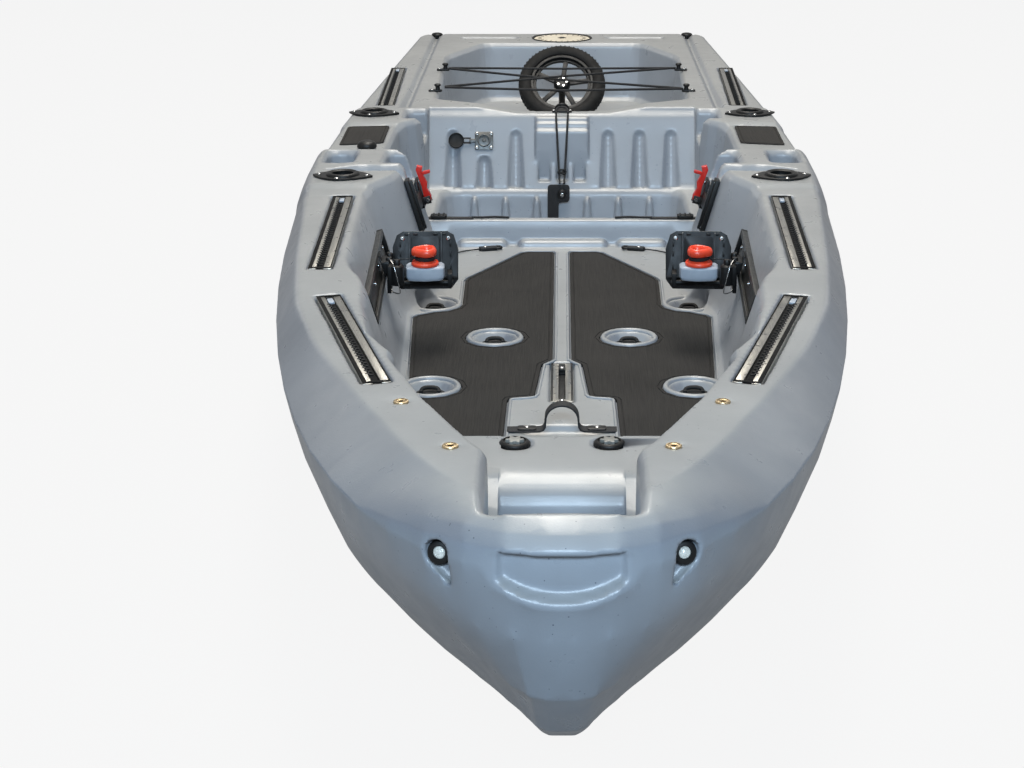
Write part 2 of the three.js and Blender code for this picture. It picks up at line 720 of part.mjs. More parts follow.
function rodHolder() {
  const { outer, bore, depth, flange } = ROD_TUBE;
  const plate = solid(extrude(rodPlate(), flange));
  const collar = solid(turned([[0, -10], [31, -10], [31, flange + 3], [0, flange + 3]], 14));
  const below = solid(box(-80, -80, -40, 80, 80, 0));
  const tube = solid(leaning(turned([[0, -depth], [outer, -depth], [outer, 10], [0, 10]], 12)));
  const above = solid(box(-80, -80, flange, 80, 80, 60));
  const hole = solid(leaning(turned([[0, -depth + 4], [bore, -depth + 4], [bore, 60], [0, 60]], 12)));
  return plate.add(collar.subtract(below)).add(tube.subtract(above)).subtract(hole);
}

function rodCutter() {
  const radius = ROD_TUBE.outer + 1.5;
  const deep = ROD_TUBE.depth + 2;
  return leaning(turned([[0, -deep], [radius, -deep], [radius, 30], [0, 30]], 12));
}

// Small turned fittings

function scupperPlug() {
  const stem = turned([
    [0, -34], [17, -34], [SCUPPER_BORE_RADIUS - 0.6, -20], [SCUPPER_BORE_RADIUS - 0.6, -GAP],
    [27, GAP], [26, 5], [0, 7],
  ], 12);
  const arch = Array.from({ length: 5 }, (_, i) => {
    const angle = Math.PI * i / 4;
    return [15 * Math.cos(angle), 0, 4 + 18 * Math.sin(angle)];
  });
  return geometryOf(joined(stem, cord(arch, 4, 5)));
}

function bowLight() {
  return turned([[0, 0], [14, 0], [14, 6], [11, 9], [8.5, 9], [8.5, 7], [4, 8], [0, 8.4]], 14);
}

function deckInsert() {
  return turned([[4, -14], [7, -14], [7, -2], [11, -2], [11, 1], [4, 1], [4, -14]], 10);
}

function bowPlug() {
  const ring = turned([[0, -12], [15, -12], [15, 0], [21.5, 0], [21.5, 6], [17, 9], [16, 6], [0, 6]], 14);
  const star = Array.from({ length: 12 }, (_, i) => {
    const angle = i / 12 * 2 * Math.PI;
    const radius = i % 2 ? 8 : 13.5;
    return new THREE.Vector2(radius * Math.cos(angle), radius * Math.sin(angle));
  });
  return geometryOf(joined(ring, extrude(star, 7).translate(0, 0, 4)));
}

function domeKnob(radius, height) {
  return turned([
    [0, -10], [6, -10], [6, 0], [radius * 0.82, 0], [radius, height * 0.3], [radius * 0.9, height * 0.72],
    [radius * 0.5, height * 0.97], [0, height],
  ], 14);
}

// The lower middle of the deck between the seat and the tank well
function deckDip() {
  const section = [[-200, 377], [-110, 364], [110, 364], [200, 377], [200, 420], [-200, 420]].map(point);
  const dip = extrude(section, 150);
  dip.rotateX(Math.PI / 2);
  return dip.translate(0, 790, 0);
}

// Frames of the places where fittings sit

const moved = (x, y, z) => new THREE.Matrix4().makeTranslation(x, y, z);

// On the wall of the foot well, on the right: local -X points inboard, off the wall
function wallFrame({ edgeX, y, z }, yaw = 0) {
  const frame = moved(edgeX - wallInset(y, z) / Math.cos(yaw), y, z);
  return frame.multiply(new THREE.Matrix4().makeRotationZ(yaw));
}

// The same place, with local +Z up along the leaning wall
function leanFrame(frame, y) {
  return frame.clone().multiply(new THREE.Matrix4().makeRotationY(wallLean(y)));
}

// On the bulkhead: local +Z points off the face, local +Y up along it
function bulkheadFrame(x, z) {
  const { foot, head, headHeight } = BULKHEAD;
  const slope = (head - foot - 2) / (headHeight - 10 - SEAT_RIM - 10);
  const frame = moved(x, foot + slope * (z - SEAT_RIM - 10), z);
  return frame.multiply(new THREE.Matrix4().makeRotationX(Math.PI / 2 - Math.atan(slope)));
}

// On the bow, facing forwards, a little up and outwards
function bowLightFrame() {
  const frame = moved(128, -1827, 356);
  frame.multiply(new THREE.Matrix4().makeRotationZ(radians(16)));
  return frame.multiply(new THREE.Matrix4().makeRotationX(radians(76)));
}

function bowLightSeat() {
  const seat = extrude(circle(0, 0, 16.5, 14), 60).translate(0, 0, -0.5);
  const tail = extrude([[-16, 2], [-17, -34], [10, -12]].map(point), 60).translate(0, 0, -0.5);
  return joined(seat, tail);
}

// Foot brace on the right-hand wall: rail, carriage, pedal, bracket and spool

const BRACE_YAW = -Math.atan2(370 - 346, 761 - 240);
const BRACE = { edgeX: 358, y: -500, z: 290, half: 225 };
const braceFrame = wallFrame(BRACE, BRACE_YAW);
const SHAFT = { y: 62, z: -22, radius: 8, end: -21 };
const CARRIAGE = { near: -20, far: -27.5, back: 92, front: 34, low: -44, high: 10 };
const PEDAL = { x: -88.5, depth: 14, wall: 3.5, lean: 10 };
const LEDGE = { width: 70, depth: 48, low: -28, high: -2 };
const SPOOL = { radius: 24.5, waist: 15, height: 33, bore: 7 };

function alongRail(shape, length) {
  return extrude(shape, length).rotateX(Math.PI / 2).translate(0, length / 2, 0);
}

function footRail() {
  const section = [
    [-GAP, -26], [-GAP, 26], [-11, 26], [-11, 17], [-8, 17], [-8, 22], [-4, 22], [-4, -22], [-8, -22],
    [-8, -17], [-11, -17], [-11, -26],
  ].map(point);
  return alongRail(section, 2 * BRACE.half).applyMatrix4(leanFrame(braceFrame, BRACE.y));
}

// A round bar along local X
function barAlongX(x0, x1, y, z, radius, segments = 12) {
  const bar = new THREE.CylinderGeometry(radius, radius, x1 - x0, segments);
  return bar.rotateZ(Math.PI / 2).translate((x0 + x1) / 2, y, z);
}

function braceCarriage() {
  const { near, far, back, front, low, high } = CARRIAGE;
  const lean = leanFrame(moved(0, 0, 0), BRACE.y);
  const slider = box(-13.5, front + 8, -20, -11.6, back - 8, 20).applyMatrix4(lean);
  const neck = box(-26, front + 4, -14, -12.4, back - 4, 8).applyMatrix4(lean);
  const body = stack(rectangle(far, front, near, back), [[low, 0], [high, 0]], 3, COARSE);
  const post = stack(circle(far - 12, SHAFT.y - 40, 12, 12), [[low + 20, 0], [high, 0], [high + 3, -3]]);
  const arm = box(far - 10, SHAFT.y - 46, low + 20, far + 4, front + 6, high);
  const bore = barAlongX(far - 5, near + 5, SHAFT.y, SHAFT.z, SHAFT.radius + 0.4);
  return joined(slider, neck, body, post, arm).subtract(solid(bore));
}

// The pedal plate is a shallow box, open towards the bow, with ribs inside
function pedalOutline() {
  return [
    [-40, 53], [-52, 46], [-60, 20], [-59, -36], [-46, -53], [46, -53], [59, -36], [60, 24],
    [52, 46], [40, 53],
  ].map(point);
}

function footPedal() {
  const outline = pedalOutline().reverse();
  const { depth, wall } = PEDAL;
  const upright = (geometry) => geometry.rotateX(Math.PI / 2).rotateX(radians(-PEDAL.lean));
  const placed = (geometry) => geometry.translate(PEDAL.x, SHAFT.y + 38, SHAFT.z + 22);
  const shell = solid(placed(upright(extrude(outline, depth))));
  const hollow = solid(placed(upright(extrude(grow(outline, -wall), depth).translate(0, 0, wall))));
  let pedal = shell.subtract(hollow);
  const bars = [
    box(-31, -50, 0, -28, 50, depth - 2), box(28, -50, 0, 31, 50, depth - 2),
    box(-57, -33, 0, 57, -30, depth - 3),
  ];
  for (const bar of bars) pedal = pedal.add(solid(placed(upright(bar))));
  const shaft = barAlongX(PEDAL.x + 40, SHAFT.end, SHAFT.y, SHAFT.z, SHAFT.radius);
  const lowBar = barAlongX(PEDAL.x - 50, PEDAL.x + 50, SHAFT.y + 20, SHAFT.z - 16, 5, 8);
  const web = [-44, 44].map((x) => box(
    PEDAL.x + x - 4, SHAFT.y - 3, SHAFT.z - 20, PEDAL.x + x + 4, SHAFT.y + 34, SHAFT.z + 6,
  ));
  return pedal.add(joined(shaft, lowBar, ...web));
}

// The blue-grey ledge on the pedal, with the pin that the spool turns on
function spoolBracket() {
  const { width, depth, low, high } = LEDGE;
  const corners = [
    [-width / 2, 0], [-width / 2, -depth + 6], [0, -depth], [width / 2, -depth + 6], [width / 2, 0],
  ].map(point);
  const ledge = stack(corners, [[low, -3], [low + 6, 0], [high - 3, 0], [high, -3]], 9, COARSE);
  const pin = stack(circle(0, -depth / 2, SPOOL.bore - 1, 10), [[high - 1, 0], [high + 20, 0]]);
  return joined(ledge, pin);
}

function lineSpool() {
  const { radius, waist, height, bore } = SPOOL;
  const body = turned([
    [0, 0], [radius, 0], [radius + 0.5, 3], [radius, 6], [waist, 8], [waist, 17], [radius - 1, 19],
    [radius, 23], [radius - 2, 29], [radius - 7, height], [0, height],
  ], 14);
  const hole = turned([[0, -5], [bore, -5], [bore, 22], [10, height + 5], [0, height + 5]], 10);
  return solid(body).subtract(solid(hole));
}

// Where the bracket and the spool stand, in the brace's own frame
const LEDGE_PLACE = { x: PEDAL.x, y: SHAFT.y + 20, z: SHAFT.z + 26 };

// Seat latch on the inner wall beside the seat: a black base and a red lever

const LATCH = { edgeX: 318, y: 0, z: 318 };
const latchFrame = leanFrame(wallFrame(LATCH), LATCH.y);
const LEVER = { y: 66, low: -26, high: 46 };

// Extrudes an outline off the wall, between two distances. It is drawn as pairs of the distance
// towards the bow and the height.
function offWall(outline, near, far) {
  const shape = extrude(outline.map(point), far - near);
  const toWall = new THREE.Matrix4().set(0, 0, -1, -near, -1, 0, 0, 0, 0, 1, 0, 0, 0, 0, 0, 1);
  return shape.applyMatrix4(toWall);
}

function latchBase() {
  const strip = offWall([[60, -58], [92, -58], [92, 52], [60, 52]], GAP, 9);
  const web = offWall([[-84, -30], [64, -30], [64, -10], [-84, 4]], GAP, 6);
  const foot = offWall([[-90, -38], [-40, -38], [-40, 20], [-90, 20]], GAP, 7);
  const rail = offWall([[70, -54], [80, -54], [80, 48], [70, 48]], 8, 15);
  const ears = [LEVER.y - 13, LEVER.y + 9].map((y) => box(-22, y, LEVER.low - 8, -5, y + 4, LEVER.low + 8));
  return joined(strip, web, foot, rail, ...ears);
}

function latchLever() {
  const profile = [
    [-10, -5], [-21, -5], [-24, 6], [-20, 22], [-24, 34], [-19, 58], [-24, 68], [-14, 74], [-9, 66],
    [-11, 30], [-9, 6],
  ].map(point);
  const arm = extrude(profile.reverse(), 14).rotateX(Math.PI / 2);
  arm.translate(0, LEVER.y + 7, LEVER.low);
  const thumb = box(-36, LEVER.y - 5, LEVER.low + 52, -20, LEVER.y + 5, LEVER.low + 58);
  return joined(arm, thumb);
}

// Power socket on the bulkhead, and its cap on a short strap

const SOCKET = { x: -186, z: 303, half: 22 };
const CAP_HINGE = { x: -33, z: 6.9 };

function powerSocket() {
  const { half } = SOCKET;
  const flange = stack(rectangle(-half, -half, half, half), [[GAP, 0], [3.5, 0]], 5, ONE_STEP);
  const barrel = turned([
    [0, -18], [13, -18], [13, 1], [15, 3], [15, 9], [12, 9], [12, 2], [4, 2], [4, 7], [0, 7],
  ], 10);
  const tongue = box(CAP_HINGE.x - 2, -3.7, GAP, -half + 2, 3.7, CAP_HINGE.z + 1.5);
  return joined(flange, barrel, tongue);
}

// The cap is shown open, and folds over on its two arms to cover the barrel
function socketCap() {
  const cup = turned([[0, 2], [16, 2], [18.5, 4], [18.5, 9.5], [16, 9.5], [16, 4.5], [0, 4.5]], 14);
  cup.translate(2 * CAP_HINGE.x, 0, 0);
  const arms = [-7, 4].map((y) => (
    box(2 * CAP_HINGE.x + 17, y, CAP_HINGE.z - 1.5, CAP_HINGE.x + 2, y + 3, CAP_HINGE.z + 1.5)));
  return joined(cup, ...arms);
}

// Straps and cords that are held at both ends

// A flat strap of even thickness along a line in the XZ plane, made width wide along Y
function strap(line, thickness, width) {
  const path = line.map(point);
  const sides = [1, -1].map((side) => path.map((place, i) => {
    const before = path[Math.max(0, i - 1)];
    const after = path[Math.min(path.length - 1, i + 1)];
    const along = after.clone().sub(before).normalize();
    return place.clone().add(new THREE.Vector2(along.y, -along.x).multiplyScalar(side * thickness / 2));
  }));
  const outline = [...sides[0], ...sides[1].reverse()];
  return extrude(outline, width).rotateX(Math.PI / 2).translate(0, width / 2, 0);
}

const PULL_STRAP = { y: -891, z: FLOOR + 2, height: 44 };

function pullStrap() {
  const { height } = PULL_STRAP;
  const arch = Array.from({ length: 9 }, (_, i) => {
    const angle = Math.PI * (1 - i / 8);
    return [26 * Math.cos(angle), height - 24 + 24 * Math.sin(angle)];
  });
  const line = [[-88, 0], [-34, 1], [-28, 6], ...arch, [28, 6], [34, 1], [88, 0]];
  return strap(line, 3, 24).translate(0, PULL_STRAP.y, PULL_STRAP.z);
}

function pullStrapHollow() {
  const lens = [
    [-88, -884], [-60, -905], [0, -916], [60, -905], [88, -884], [60, -868], [0, -862], [-60, -868],
  ];
  return stack(lens.map(point), [[FLOOR - 12, -6], [FLOOR - 2, 0], [FLOOR + 20, 0]], 12, COARSE);
}

function rimStrap() {
  const y = (RISER_Y + SEAT_WELL.front) / 2 + 2;
  const band = box(196, y - 9, SEAT_RIM + GAP, 306, y + 9, SEAT_RIM + 3);
  const buckle = stack(rectangle(256, y - 11, 292, y + 11), [
    [SEAT_RIM + 1, 0], [SEAT_RIM + 9, 0], [SEAT_RIM + 12, -4],
  ], 5, ONE_STEP);
  return joined(band, buckle);
}

// Cord looped from the padeye down to the lug of the tie-down strap
const PADEYE = { y: 690, z: 364.5 };
const LUG = { y: 572, z: 192 };

function tiePadeye() {
  const base = stack(rectangle(-24, -9, 24, 9), [[0, 0], [4, 0]], 8, COARSE);
  const arch = cord([
    [-15, 0, 2], [-14, -4, 11], [-8, -8, 18], [0, -10, 20], [8, -8, 18], [14, -4, 11], [15, 0, 2],
  ], 3.4, 6);
  return geometryOf(joined(base, arch)).translate(0, PADEYE.y, PADEYE.z);
}

const TIE_CORD = [
  [-5, LUG.y - 9, LUG.z + 26], [-7, 592, 240], [-12, 622, 330], [-14, 650, 368], [-11, 664, 378],
  [0, 669, 380], [11, 664, 378], [14, 650, 368], [12, 622, 330], [7, 592, 240],
  [5, LUG.y - 9, LUG.z + 26],
];

function tieStrap() {
  const outline = rounded([[-34, -66], [-8, -66], [-8, -20], [18, -20], [18, 22], [-34, 22]].map(point), 9);
  const band = extrude(outline, 5).rotateX(Math.PI / 2).translate(0, LUG.y, LUG.z);
  const boss = turned([[0, 0], [11, 0], [11, 5], [7, 9], [0, 9]], 12).rotateX(Math.PI / 2);
  return joined(band, boss.translate(0, LUG.y - 4, LUG.z));
}

// The bungee over the tank well, laced between four hooks
const BUNGEE_RADIUS = 3;
const HOOK = { x: 302, rear: 1218, front: 903 };
const BUNGEE = [
  [-294, HOOK.front - 6, 389], [0, HOOK.front - 8, 381], [292, HOOK.front - 6, 385],
  [HOOK.x, HOOK.front, 384], [296, HOOK.front + 8, 384], [0, 1064, 380],
  [-292, HOOK.rear - 8, 385], [-HOOK.x, HOOK.rear, 385], [-294, HOOK.rear + 7, 385],
  [0, HOOK.rear + 8, 383], [294, HOOK.rear + 7, 385], [HOOK.x, HOOK.rear, 386],
  [292, HOOK.rear - 9, 387], [0, 1064, 389], [-294, HOOK.front + 8, 388],
];

// The spare cart wheel that leans in the tank well on its axle

const WHEEL = { y: 1313, z: 325, radius: 119, width: 44, rim: 86, lean: 40 };
function wheelFrame() {
  const frame = moved(0, WHEEL.y, WHEEL.z);
  return frame.multiply(new THREE.Matrix4().makeRotationX(radians(90 - WHEEL.lean)));
}

function wheelTyre() {
  const { radius, width, rim } = WHEEL;
  const half = width / 2;
  return turned([
    [rim, -half + 5], [rim + 12, -half], [radius - 8, -half + 3], [radius, -8], [radius, 8],
    [radius - 8, half - 3], [rim + 12, half], [rim, half - 5], [rim, -half + 5],
  ], 24);
}

function wheelRim() {
  const outer = WHEEL.rim - GAP;
  const barrel = solid(turned([
    [outer - 8, -15], [outer, -15], [outer, 15], [outer - 8, 15], [outer - 8, -15],
  ], 24));
  const disc = solid(extrude(circle(0, 0, outer - 5, 24), 8).translate(0, 0, -2));
  const hub = solid(turned([[0, -20], [14, -20], [22, -8], [22, 8], [16, 16], [0, 16]], 12));
  const axle = solid(turned([[0, -156], [9, -156], [9, -15], [0, -15]], 10));
  let rim = barrel.add(disc);
  const inner = 27;
  for (let spoke = 0; spoke < 5; spoke += 1) {
    const opening = [[inner, 0.38], [outer - 14, 0.16], [outer - 14, 1.1], [inner, 0.88]];
    const corners = opening.map(([radius, share]) => {
      const angle = (spoke + share) / 5 * 2 * Math.PI;
      return new THREE.Vector2(radius * Math.cos(angle), radius * Math.sin(angle));
    });
    const outward = corners[1].clone().add(corners[2]).setLength(outer - 8);
    corners.splice(2, 0, outward);
    rim = rim.subtract(solid(extrude(corners, 40).translate(0, 0, -20)));
  }
  return rim.add(hub).add(axle);
}

const STERN_PLATE = { y: 1803, radius: 84, lip: 88 };

function sternPlate() {
  return turned([
    [0, 0], [STERN_PLATE.radius, 0], [STERN_PLATE.radius, 4], [STERN_PLATE.radius - 3, 6], [0, 6.5],
  ], 26);
}

// Puts the hull together

const INSERTS = [[201, -1462], [129, -1637]];
const BOW_PLUG = { x: 66, y: -1229, z: BENCH - 5 };
const STERN_KNOB = { x: 377.5, y: 1872 };
const DECK_KNOB = { x: -416, y: 194 };

function hull() {
  let body = hullSkin();
  const cuts = [
    footWell(), seatArea(), bulkhead(), seatWell(), tankWell(), bowWells(), deckDip(), bowPocket(),
    floorPadPocket(), pullStrapHollow(),
  ];
  cuts.push(...[...deckTrays(), ...outerHollows()].flatMap(onBothSides));
  cuts.push(mirrored(geometryOf(floorPadPocket())));
  cuts.push(...SCUPPERS.map(scupperCutter).flatMap(onBothSides));
  const padPocket = stack(DECK_PAD_EDGE, [
    [(y) => deckHeight(y) - 3, 2], [(y) => deckHeight(y) + 9, 2],
  ], PAD_CORNER, COARSE);
  cuts.push(...onBothSides(padPocket));
  cuts.push(...TRACKS.map((track) => trackPocket(trackPlace(track))).flatMap(onBothSides));
  cuts.push(trackPocket(floorTrackPlace));
  cuts.push(...ROD_HOLDERS.map((place) => rodCutter().applyMatrix4(rodMatrix(place))).flatMap(onBothSides));
  cuts.push(...onBothSides(geometryOf(bowLightSeat()).applyMatrix4(bowLightFrame())));
  for (const [x, y] of INSERTS) {
    const bore = turned([[0, -15], [7.4, -15], [7.4, -2.4], [11.4, -2.4], [11.4, 20], [0, 20]], 10);
    cuts.push(...onBothSides(bore.translate(x, y, deckHeight(y))));
  }
  const plugSeat = turned([[0, -13], [15.4, -13], [15.4, 0], [25, 0], [28, 9], [0, 9]], 14);
  cuts.push(...onBothSides(plugSeat.translate(BOW_PLUG.x, BOW_PLUG.y, BOW_PLUG.z)));
  const knobBore = turned([[0, -11], [6.3, -11], [6.3, 30], [0, 30]], 12);
  const sternSeat = turned([[0, -11], [6.3, -11], [6.3, 0], [20, 0], [24, 16], [0, 16]], 12);
  const sternZ = deckHeight(STERN_KNOB.y) - 7;
  cuts.push(...onBothSides(sternSeat.translate(STERN_KNOB.x, STERN_KNOB.y, sternZ)));
  cuts.push(knobBore.translate(DECK_KNOB.x, DECK_KNOB.y, deckHeight(DECK_KNOB.y)));
  const plateSeat = turned([[0, -8], [STERN_PLATE.lip, -8], [STERN_PLATE.lip + 2, 12], [0, 12]], 26);
  cuts.push(plateSeat.translate(0, STERN_PLATE.y, deckHeight(STERN_PLATE.y)));
  const socketBore = turned([[0, -19], [13.5, -19], [13.5, 12], [0, 12]], 10);
  cuts.push(socketBore.applyMatrix4(bulkheadFrame(SOCKET.x, SOCKET.z)));
  for (const cut of cuts) {
    body = body.subtract(cut instanceof THREE.BufferGeometry ? solid(cut) : cut);
  }
  for (const bar of floorBars()) body = body.add(solid(bar));
  return body;
}

add('hull', hull(), finishes.hull);

addPair('floor_pad', floorPad(), finishes.foam);
const deckPad = stack(DECK_PAD_EDGE, [
  [(y) => deckHeight(y) - 3 + GAP, 0], [(y) => deckHeight(y) + 1.5, 0],
], PAD_CORNER, COARSE);
addPair('deck_pad', deckPad, finishes.foam);

for (const track of TRACKS) addPair(`gear_track_${track.name}`, trackBar(trackPlace(track)), finishes.alloy);
add('gear_track_floor', floorTrackBar(), finishes.alloy);

for (const place of ROD_HOLDERS) {
  addPair(`rod_holder_${place.name}`, geometryOf(rodHolder()).applyMatrix4(rodMatrix(place)), finishes.black);
}

for (const { name, x, y } of SCUPPERS) {
  for (const [side, sign] of [['right', 1], ['left', -1]]) {
    const plug = add(`scupper_plug_${name}_${side}`, scupperPlug(), finishes.rubber);
    plug.position.set(sign * x, y, FLOOR - 16 + GAP);
  }
}

addPair('bow_light', bowLight().applyMatrix4(bowLightFrame()), finishes.lens);

INSERTS.forEach(([x, y], i) => {
  addPair(`deck_insert_${i ? 'front' : 'rear'}`, deckInsert().translate(x, y, deckHeight(y)), finishes.brass);
});

const bowPlugPlace = [BOW_PLUG.x, BOW_PLUG.y, BOW_PLUG.z + GAP];
addPair('bow_plug', bowPlug().translate(...bowPlugPlace), finishes.black);

addPair('foot_rail', footRail(), finishes.alloy);
addPair('brace_carriage', geometryOf(braceCarriage()).applyMatrix4(braceFrame), finishes.black);
addPair('foot_pedal', geometryOf(footPedal()).applyMatrix4(braceFrame), finishes.black);
const ledge = geometryOf(spoolBracket()).translate(LEDGE_PLACE.x, LEDGE_PLACE.y, LEDGE_PLACE.z);
addPair('spool_bracket', ledge.applyMatrix4(braceFrame), finishes.bracket);
const spool = geometryOf(lineSpool()).translate(
  LEDGE_PLACE.x, LEDGE_PLACE.y - LEDGE.depth / 2, LEDGE_PLACE.z + LEDGE.high + GAP,
);
addPair('line_spool', spool.applyMatrix4(braceFrame), finishes.orange);

addPair('latch_base', geometryOf(latchBase()).applyMatrix4(latchFrame), finishes.black);
addPair('latch_lever', geometryOf(latchLever()).applyMatrix4(latchFrame), finishes.red);

const socketFrame = bulkheadFrame(SOCKET.x, SOCKET.z);
add('power_socket', geometryOf(powerSocket()).applyMatrix4(socketFrame), finishes.alloy);
add('socket_cap', geometryOf(socketCap()).applyMatrix4(socketFrame), finishes.rubber);

add('pull_strap', pullStrap(), finishes.rubber);
addPair('rim_strap', rimStrap(), finishes.rubber);
add('tie_padeye', tiePadeye(), finishes.black);
add('tie_cord', cord(TIE_CORD, 2.5), finishes.rubber);
add('tie_strap', tieStrap(), finishes.rubber);
add('bungee_cord', cord(BUNGEE, BUNGEE_RADIUS), finishes.rubber);

add('wheel_tyre', wheelTyre().applyMatrix4(wheelFrame()), finishes.rubber);
add('wheel_rim', geometryOf(wheelRim()).applyMatrix4(wheelFrame()), finishes.black);

const plate = add('stern_plate', sternPlate(), finishes.cream);
plate.position.set(0, STERN_PLATE.y, deckHeight(STERN_PLATE.y) - 8 + GAP);
const sternKnobHeight = deckHeight(STERN_KNOB.y) - 7 + GAP;
const sternKnob = domeKnob(17, 11).translate(STERN_KNOB.x, STERN_KNOB.y, sternKnobHeight);
addPair('stern_knob', sternKnob, finishes.black);
const knob = add('deck_knob', domeKnob(21, 17), finishes.black);
knob.position.set(DECK_KNOB.x, DECK_KNOB.y, deckHeight(DECK_KNOB.y) + GAP);

export default kayak;
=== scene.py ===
"""Dresses the fishing kayak: moulded skin, foam pads, tracks, foot braces, cords and fittings."""

import json
import math

import bmesh
import bpy
import numpy as np
from mathutils import Matrix, Vector
from mathutils.bvhtree import BVHTree
from mathutils.geometry import tessellate_polygon

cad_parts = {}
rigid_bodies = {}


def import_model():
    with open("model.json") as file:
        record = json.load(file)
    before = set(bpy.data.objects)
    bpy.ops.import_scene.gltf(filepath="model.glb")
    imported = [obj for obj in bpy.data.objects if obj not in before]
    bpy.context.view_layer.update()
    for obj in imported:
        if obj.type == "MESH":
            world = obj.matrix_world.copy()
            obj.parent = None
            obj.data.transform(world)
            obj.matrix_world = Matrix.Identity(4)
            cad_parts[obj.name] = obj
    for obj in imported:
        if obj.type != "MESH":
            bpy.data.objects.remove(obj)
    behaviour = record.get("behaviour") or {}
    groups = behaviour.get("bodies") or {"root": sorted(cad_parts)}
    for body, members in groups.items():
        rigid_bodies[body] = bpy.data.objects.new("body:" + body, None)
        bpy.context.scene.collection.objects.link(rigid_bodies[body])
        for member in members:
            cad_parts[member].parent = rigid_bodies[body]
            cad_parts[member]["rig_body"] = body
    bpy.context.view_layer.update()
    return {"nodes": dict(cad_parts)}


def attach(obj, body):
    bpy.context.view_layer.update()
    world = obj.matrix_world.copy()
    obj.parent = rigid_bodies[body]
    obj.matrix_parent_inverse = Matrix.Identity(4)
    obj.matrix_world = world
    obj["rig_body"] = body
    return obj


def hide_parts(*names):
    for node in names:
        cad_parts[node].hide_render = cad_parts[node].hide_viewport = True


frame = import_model()

# Lengths below are in millimetres until a piece is made

MM = 0.001

# Objects, nodes and modifiers


def linked(name, data):
    """A new object in the scene."""
    made = bpy.data.objects.new(name, data)
    bpy.context.scene.collection.objects.link(made)
    return made


def fill(tree, socket, value):
    """Links another node's output to an input, or sets a plain value."""
    if isinstance(value, bpy.types.NodeSocket):
        tree.links.new(value, socket)
    else:
        socket.default_value = value


def added(tree, kind, **inputs):
    """A new node with its inputs filled. An underscore stands for a space."""
    node = tree.nodes.new(kind)
    for label, value in inputs.items():
        fill(tree, node.inputs[label.replace("_", " ")], value)
    return node


def maths(tree, operation, *values):
    """The output of a new Math node."""
    node = tree.nodes.new("ShaderNodeMath")
    node.operation = operation
    for socket, value in zip(node.inputs, values):
        fill(tree, socket, value)
    return node.outputs[0]


def modify(piece, kind, **settings):
    modifier = piece.modifiers.new(kind.lower(), kind)
    for label, value in settings.items():
        setattr(modifier, label, value)
    return modifier


# Camera and studio, in metres

FLOOR_SIZE = 60
FLOOR_GAP = 0.0005
# How bright the camera sees the white floor, and how much of the white shows in reflections
FLOOR_SHARE = 0.9
GLOSS_SHARE = 0.3
# Name, place, aim, width, height, power in watts, colour
LAMPS = (
    ("top_softbox", (0, 0.6, 4.4), (0, 0.2, 0), 1.2, 4.6, 240, (1.0, 0.95, 0.87)),
    ("bow_softbox", (0, -5.4, 2.9), (0, -0.8, 0.2), 2.6, 0.9, 225, (0.60, 0.80, 1.0)),
    ("rear_left", (-3.2, 4.6, 1.8), (0, -0.3, 0.35), 1.6, 0.9, 6, (1.0, 0.97, 0.92)),
    ("rear_right", (3.2, 4.6, 1.8), (0, -0.3, 0.35), 1.6, 0.9, 6, (1.0, 0.97, 0.92)),
    ("left_strip", (-4.4, -1.6, 2.4), (0, -0.4, 0.2), 0.7, 3.6, 10, (1.0, 0.96, 0.90)),
)


def studio():
    scene = bpy.context.scene
    camera = linked("camera", bpy.data.cameras.new("camera"))
    camera.location = (0, -3.550, 1.140)
    camera.rotation_euler = (math.radians(70.92), 0, 0)
    camera.data.lens = 62.4
    camera.data.shift_x = -0.0488
    camera.data.clip_end = FLOOR_SIZE
    scene.camera = camera
    scene.view_settings.view_transform = "Standard"

    for name, place, aim, width, height, power, colour in LAMPS:
        data = bpy.data.lights.new(name, "AREA")
        data.shape = "RECTANGLE"
        data.size, data.size_y = width, height
        data.energy = power
        data.color = colour
        lamp = linked(name, data)
        lamp.location = place
        lamp.rotation_euler = (Vector(aim) - Vector(place)).to_track_quat("-Z", "Y").to_euler()

    scene.world = bpy.data.worlds.new("room")
    tree = emptied(scene.world)
    lit = added(tree, "ShaderNodeBackground", Color=(0.86, 0.92, 1.0, 1), Strength=0.10)
    seen = added(tree, "ShaderNodeBackground", Color=(1, 1, 1, 1), Strength=1)
    show(tree, lit, seen, 1.0, "ShaderNodeOutputWorld")

    bpy.ops.mesh.primitive_plane_add(size=FLOOR_SIZE, location=(0, 0, -FLOOR_GAP))
    floor = bpy.context.object
    floor.name = "floor"
    paint = bpy.data.materials.new("studio_floor")
    tree = emptied(paint)
    matt = added(tree, "ShaderNodeBsdfDiffuse", Color=(0.2, 0.2, 0.2, 1))
    show(tree, matt, added(tree, "ShaderNodeEmission"), FLOOR_SHARE, "ShaderNodeOutputMaterial")
    floor.data.materials.append(paint)


def emptied(owner):
    owner.use_nodes = True
    owner.node_tree.nodes.clear()
    return owner.node_tree


def show(tree, lit, seen, share, output):
    """Lets one shader light the boat and shows the camera the other."""
    mix = added(tree, "ShaderNodeMixShader", Fac=camera_share(tree, share))
    tree.links.new(lit.outputs[0], mix.inputs[1])
    tree.links.new(seen.outputs[0], mix.inputs[2])
    added(tree, output, Surface=mix.outputs[0])


def camera_share(tree, share):
    """A socket that is the share for what the camera sees, less in gloss, and 0 for light."""
    path = tree.nodes.new("ShaderNodeLightPath")
    total = 0.0
    for ray, weight in (("Camera", 1.0), ("Transmission", 1.0), ("Glossy", GLOSS_SHARE)):
        part = maths(tree, "MULTIPLY", path.outputs[f"Is {ray} Ray"], share * weight)
        total = maths(tree, "MAXIMUM", total, part)
    return total


studio()

# Finishes


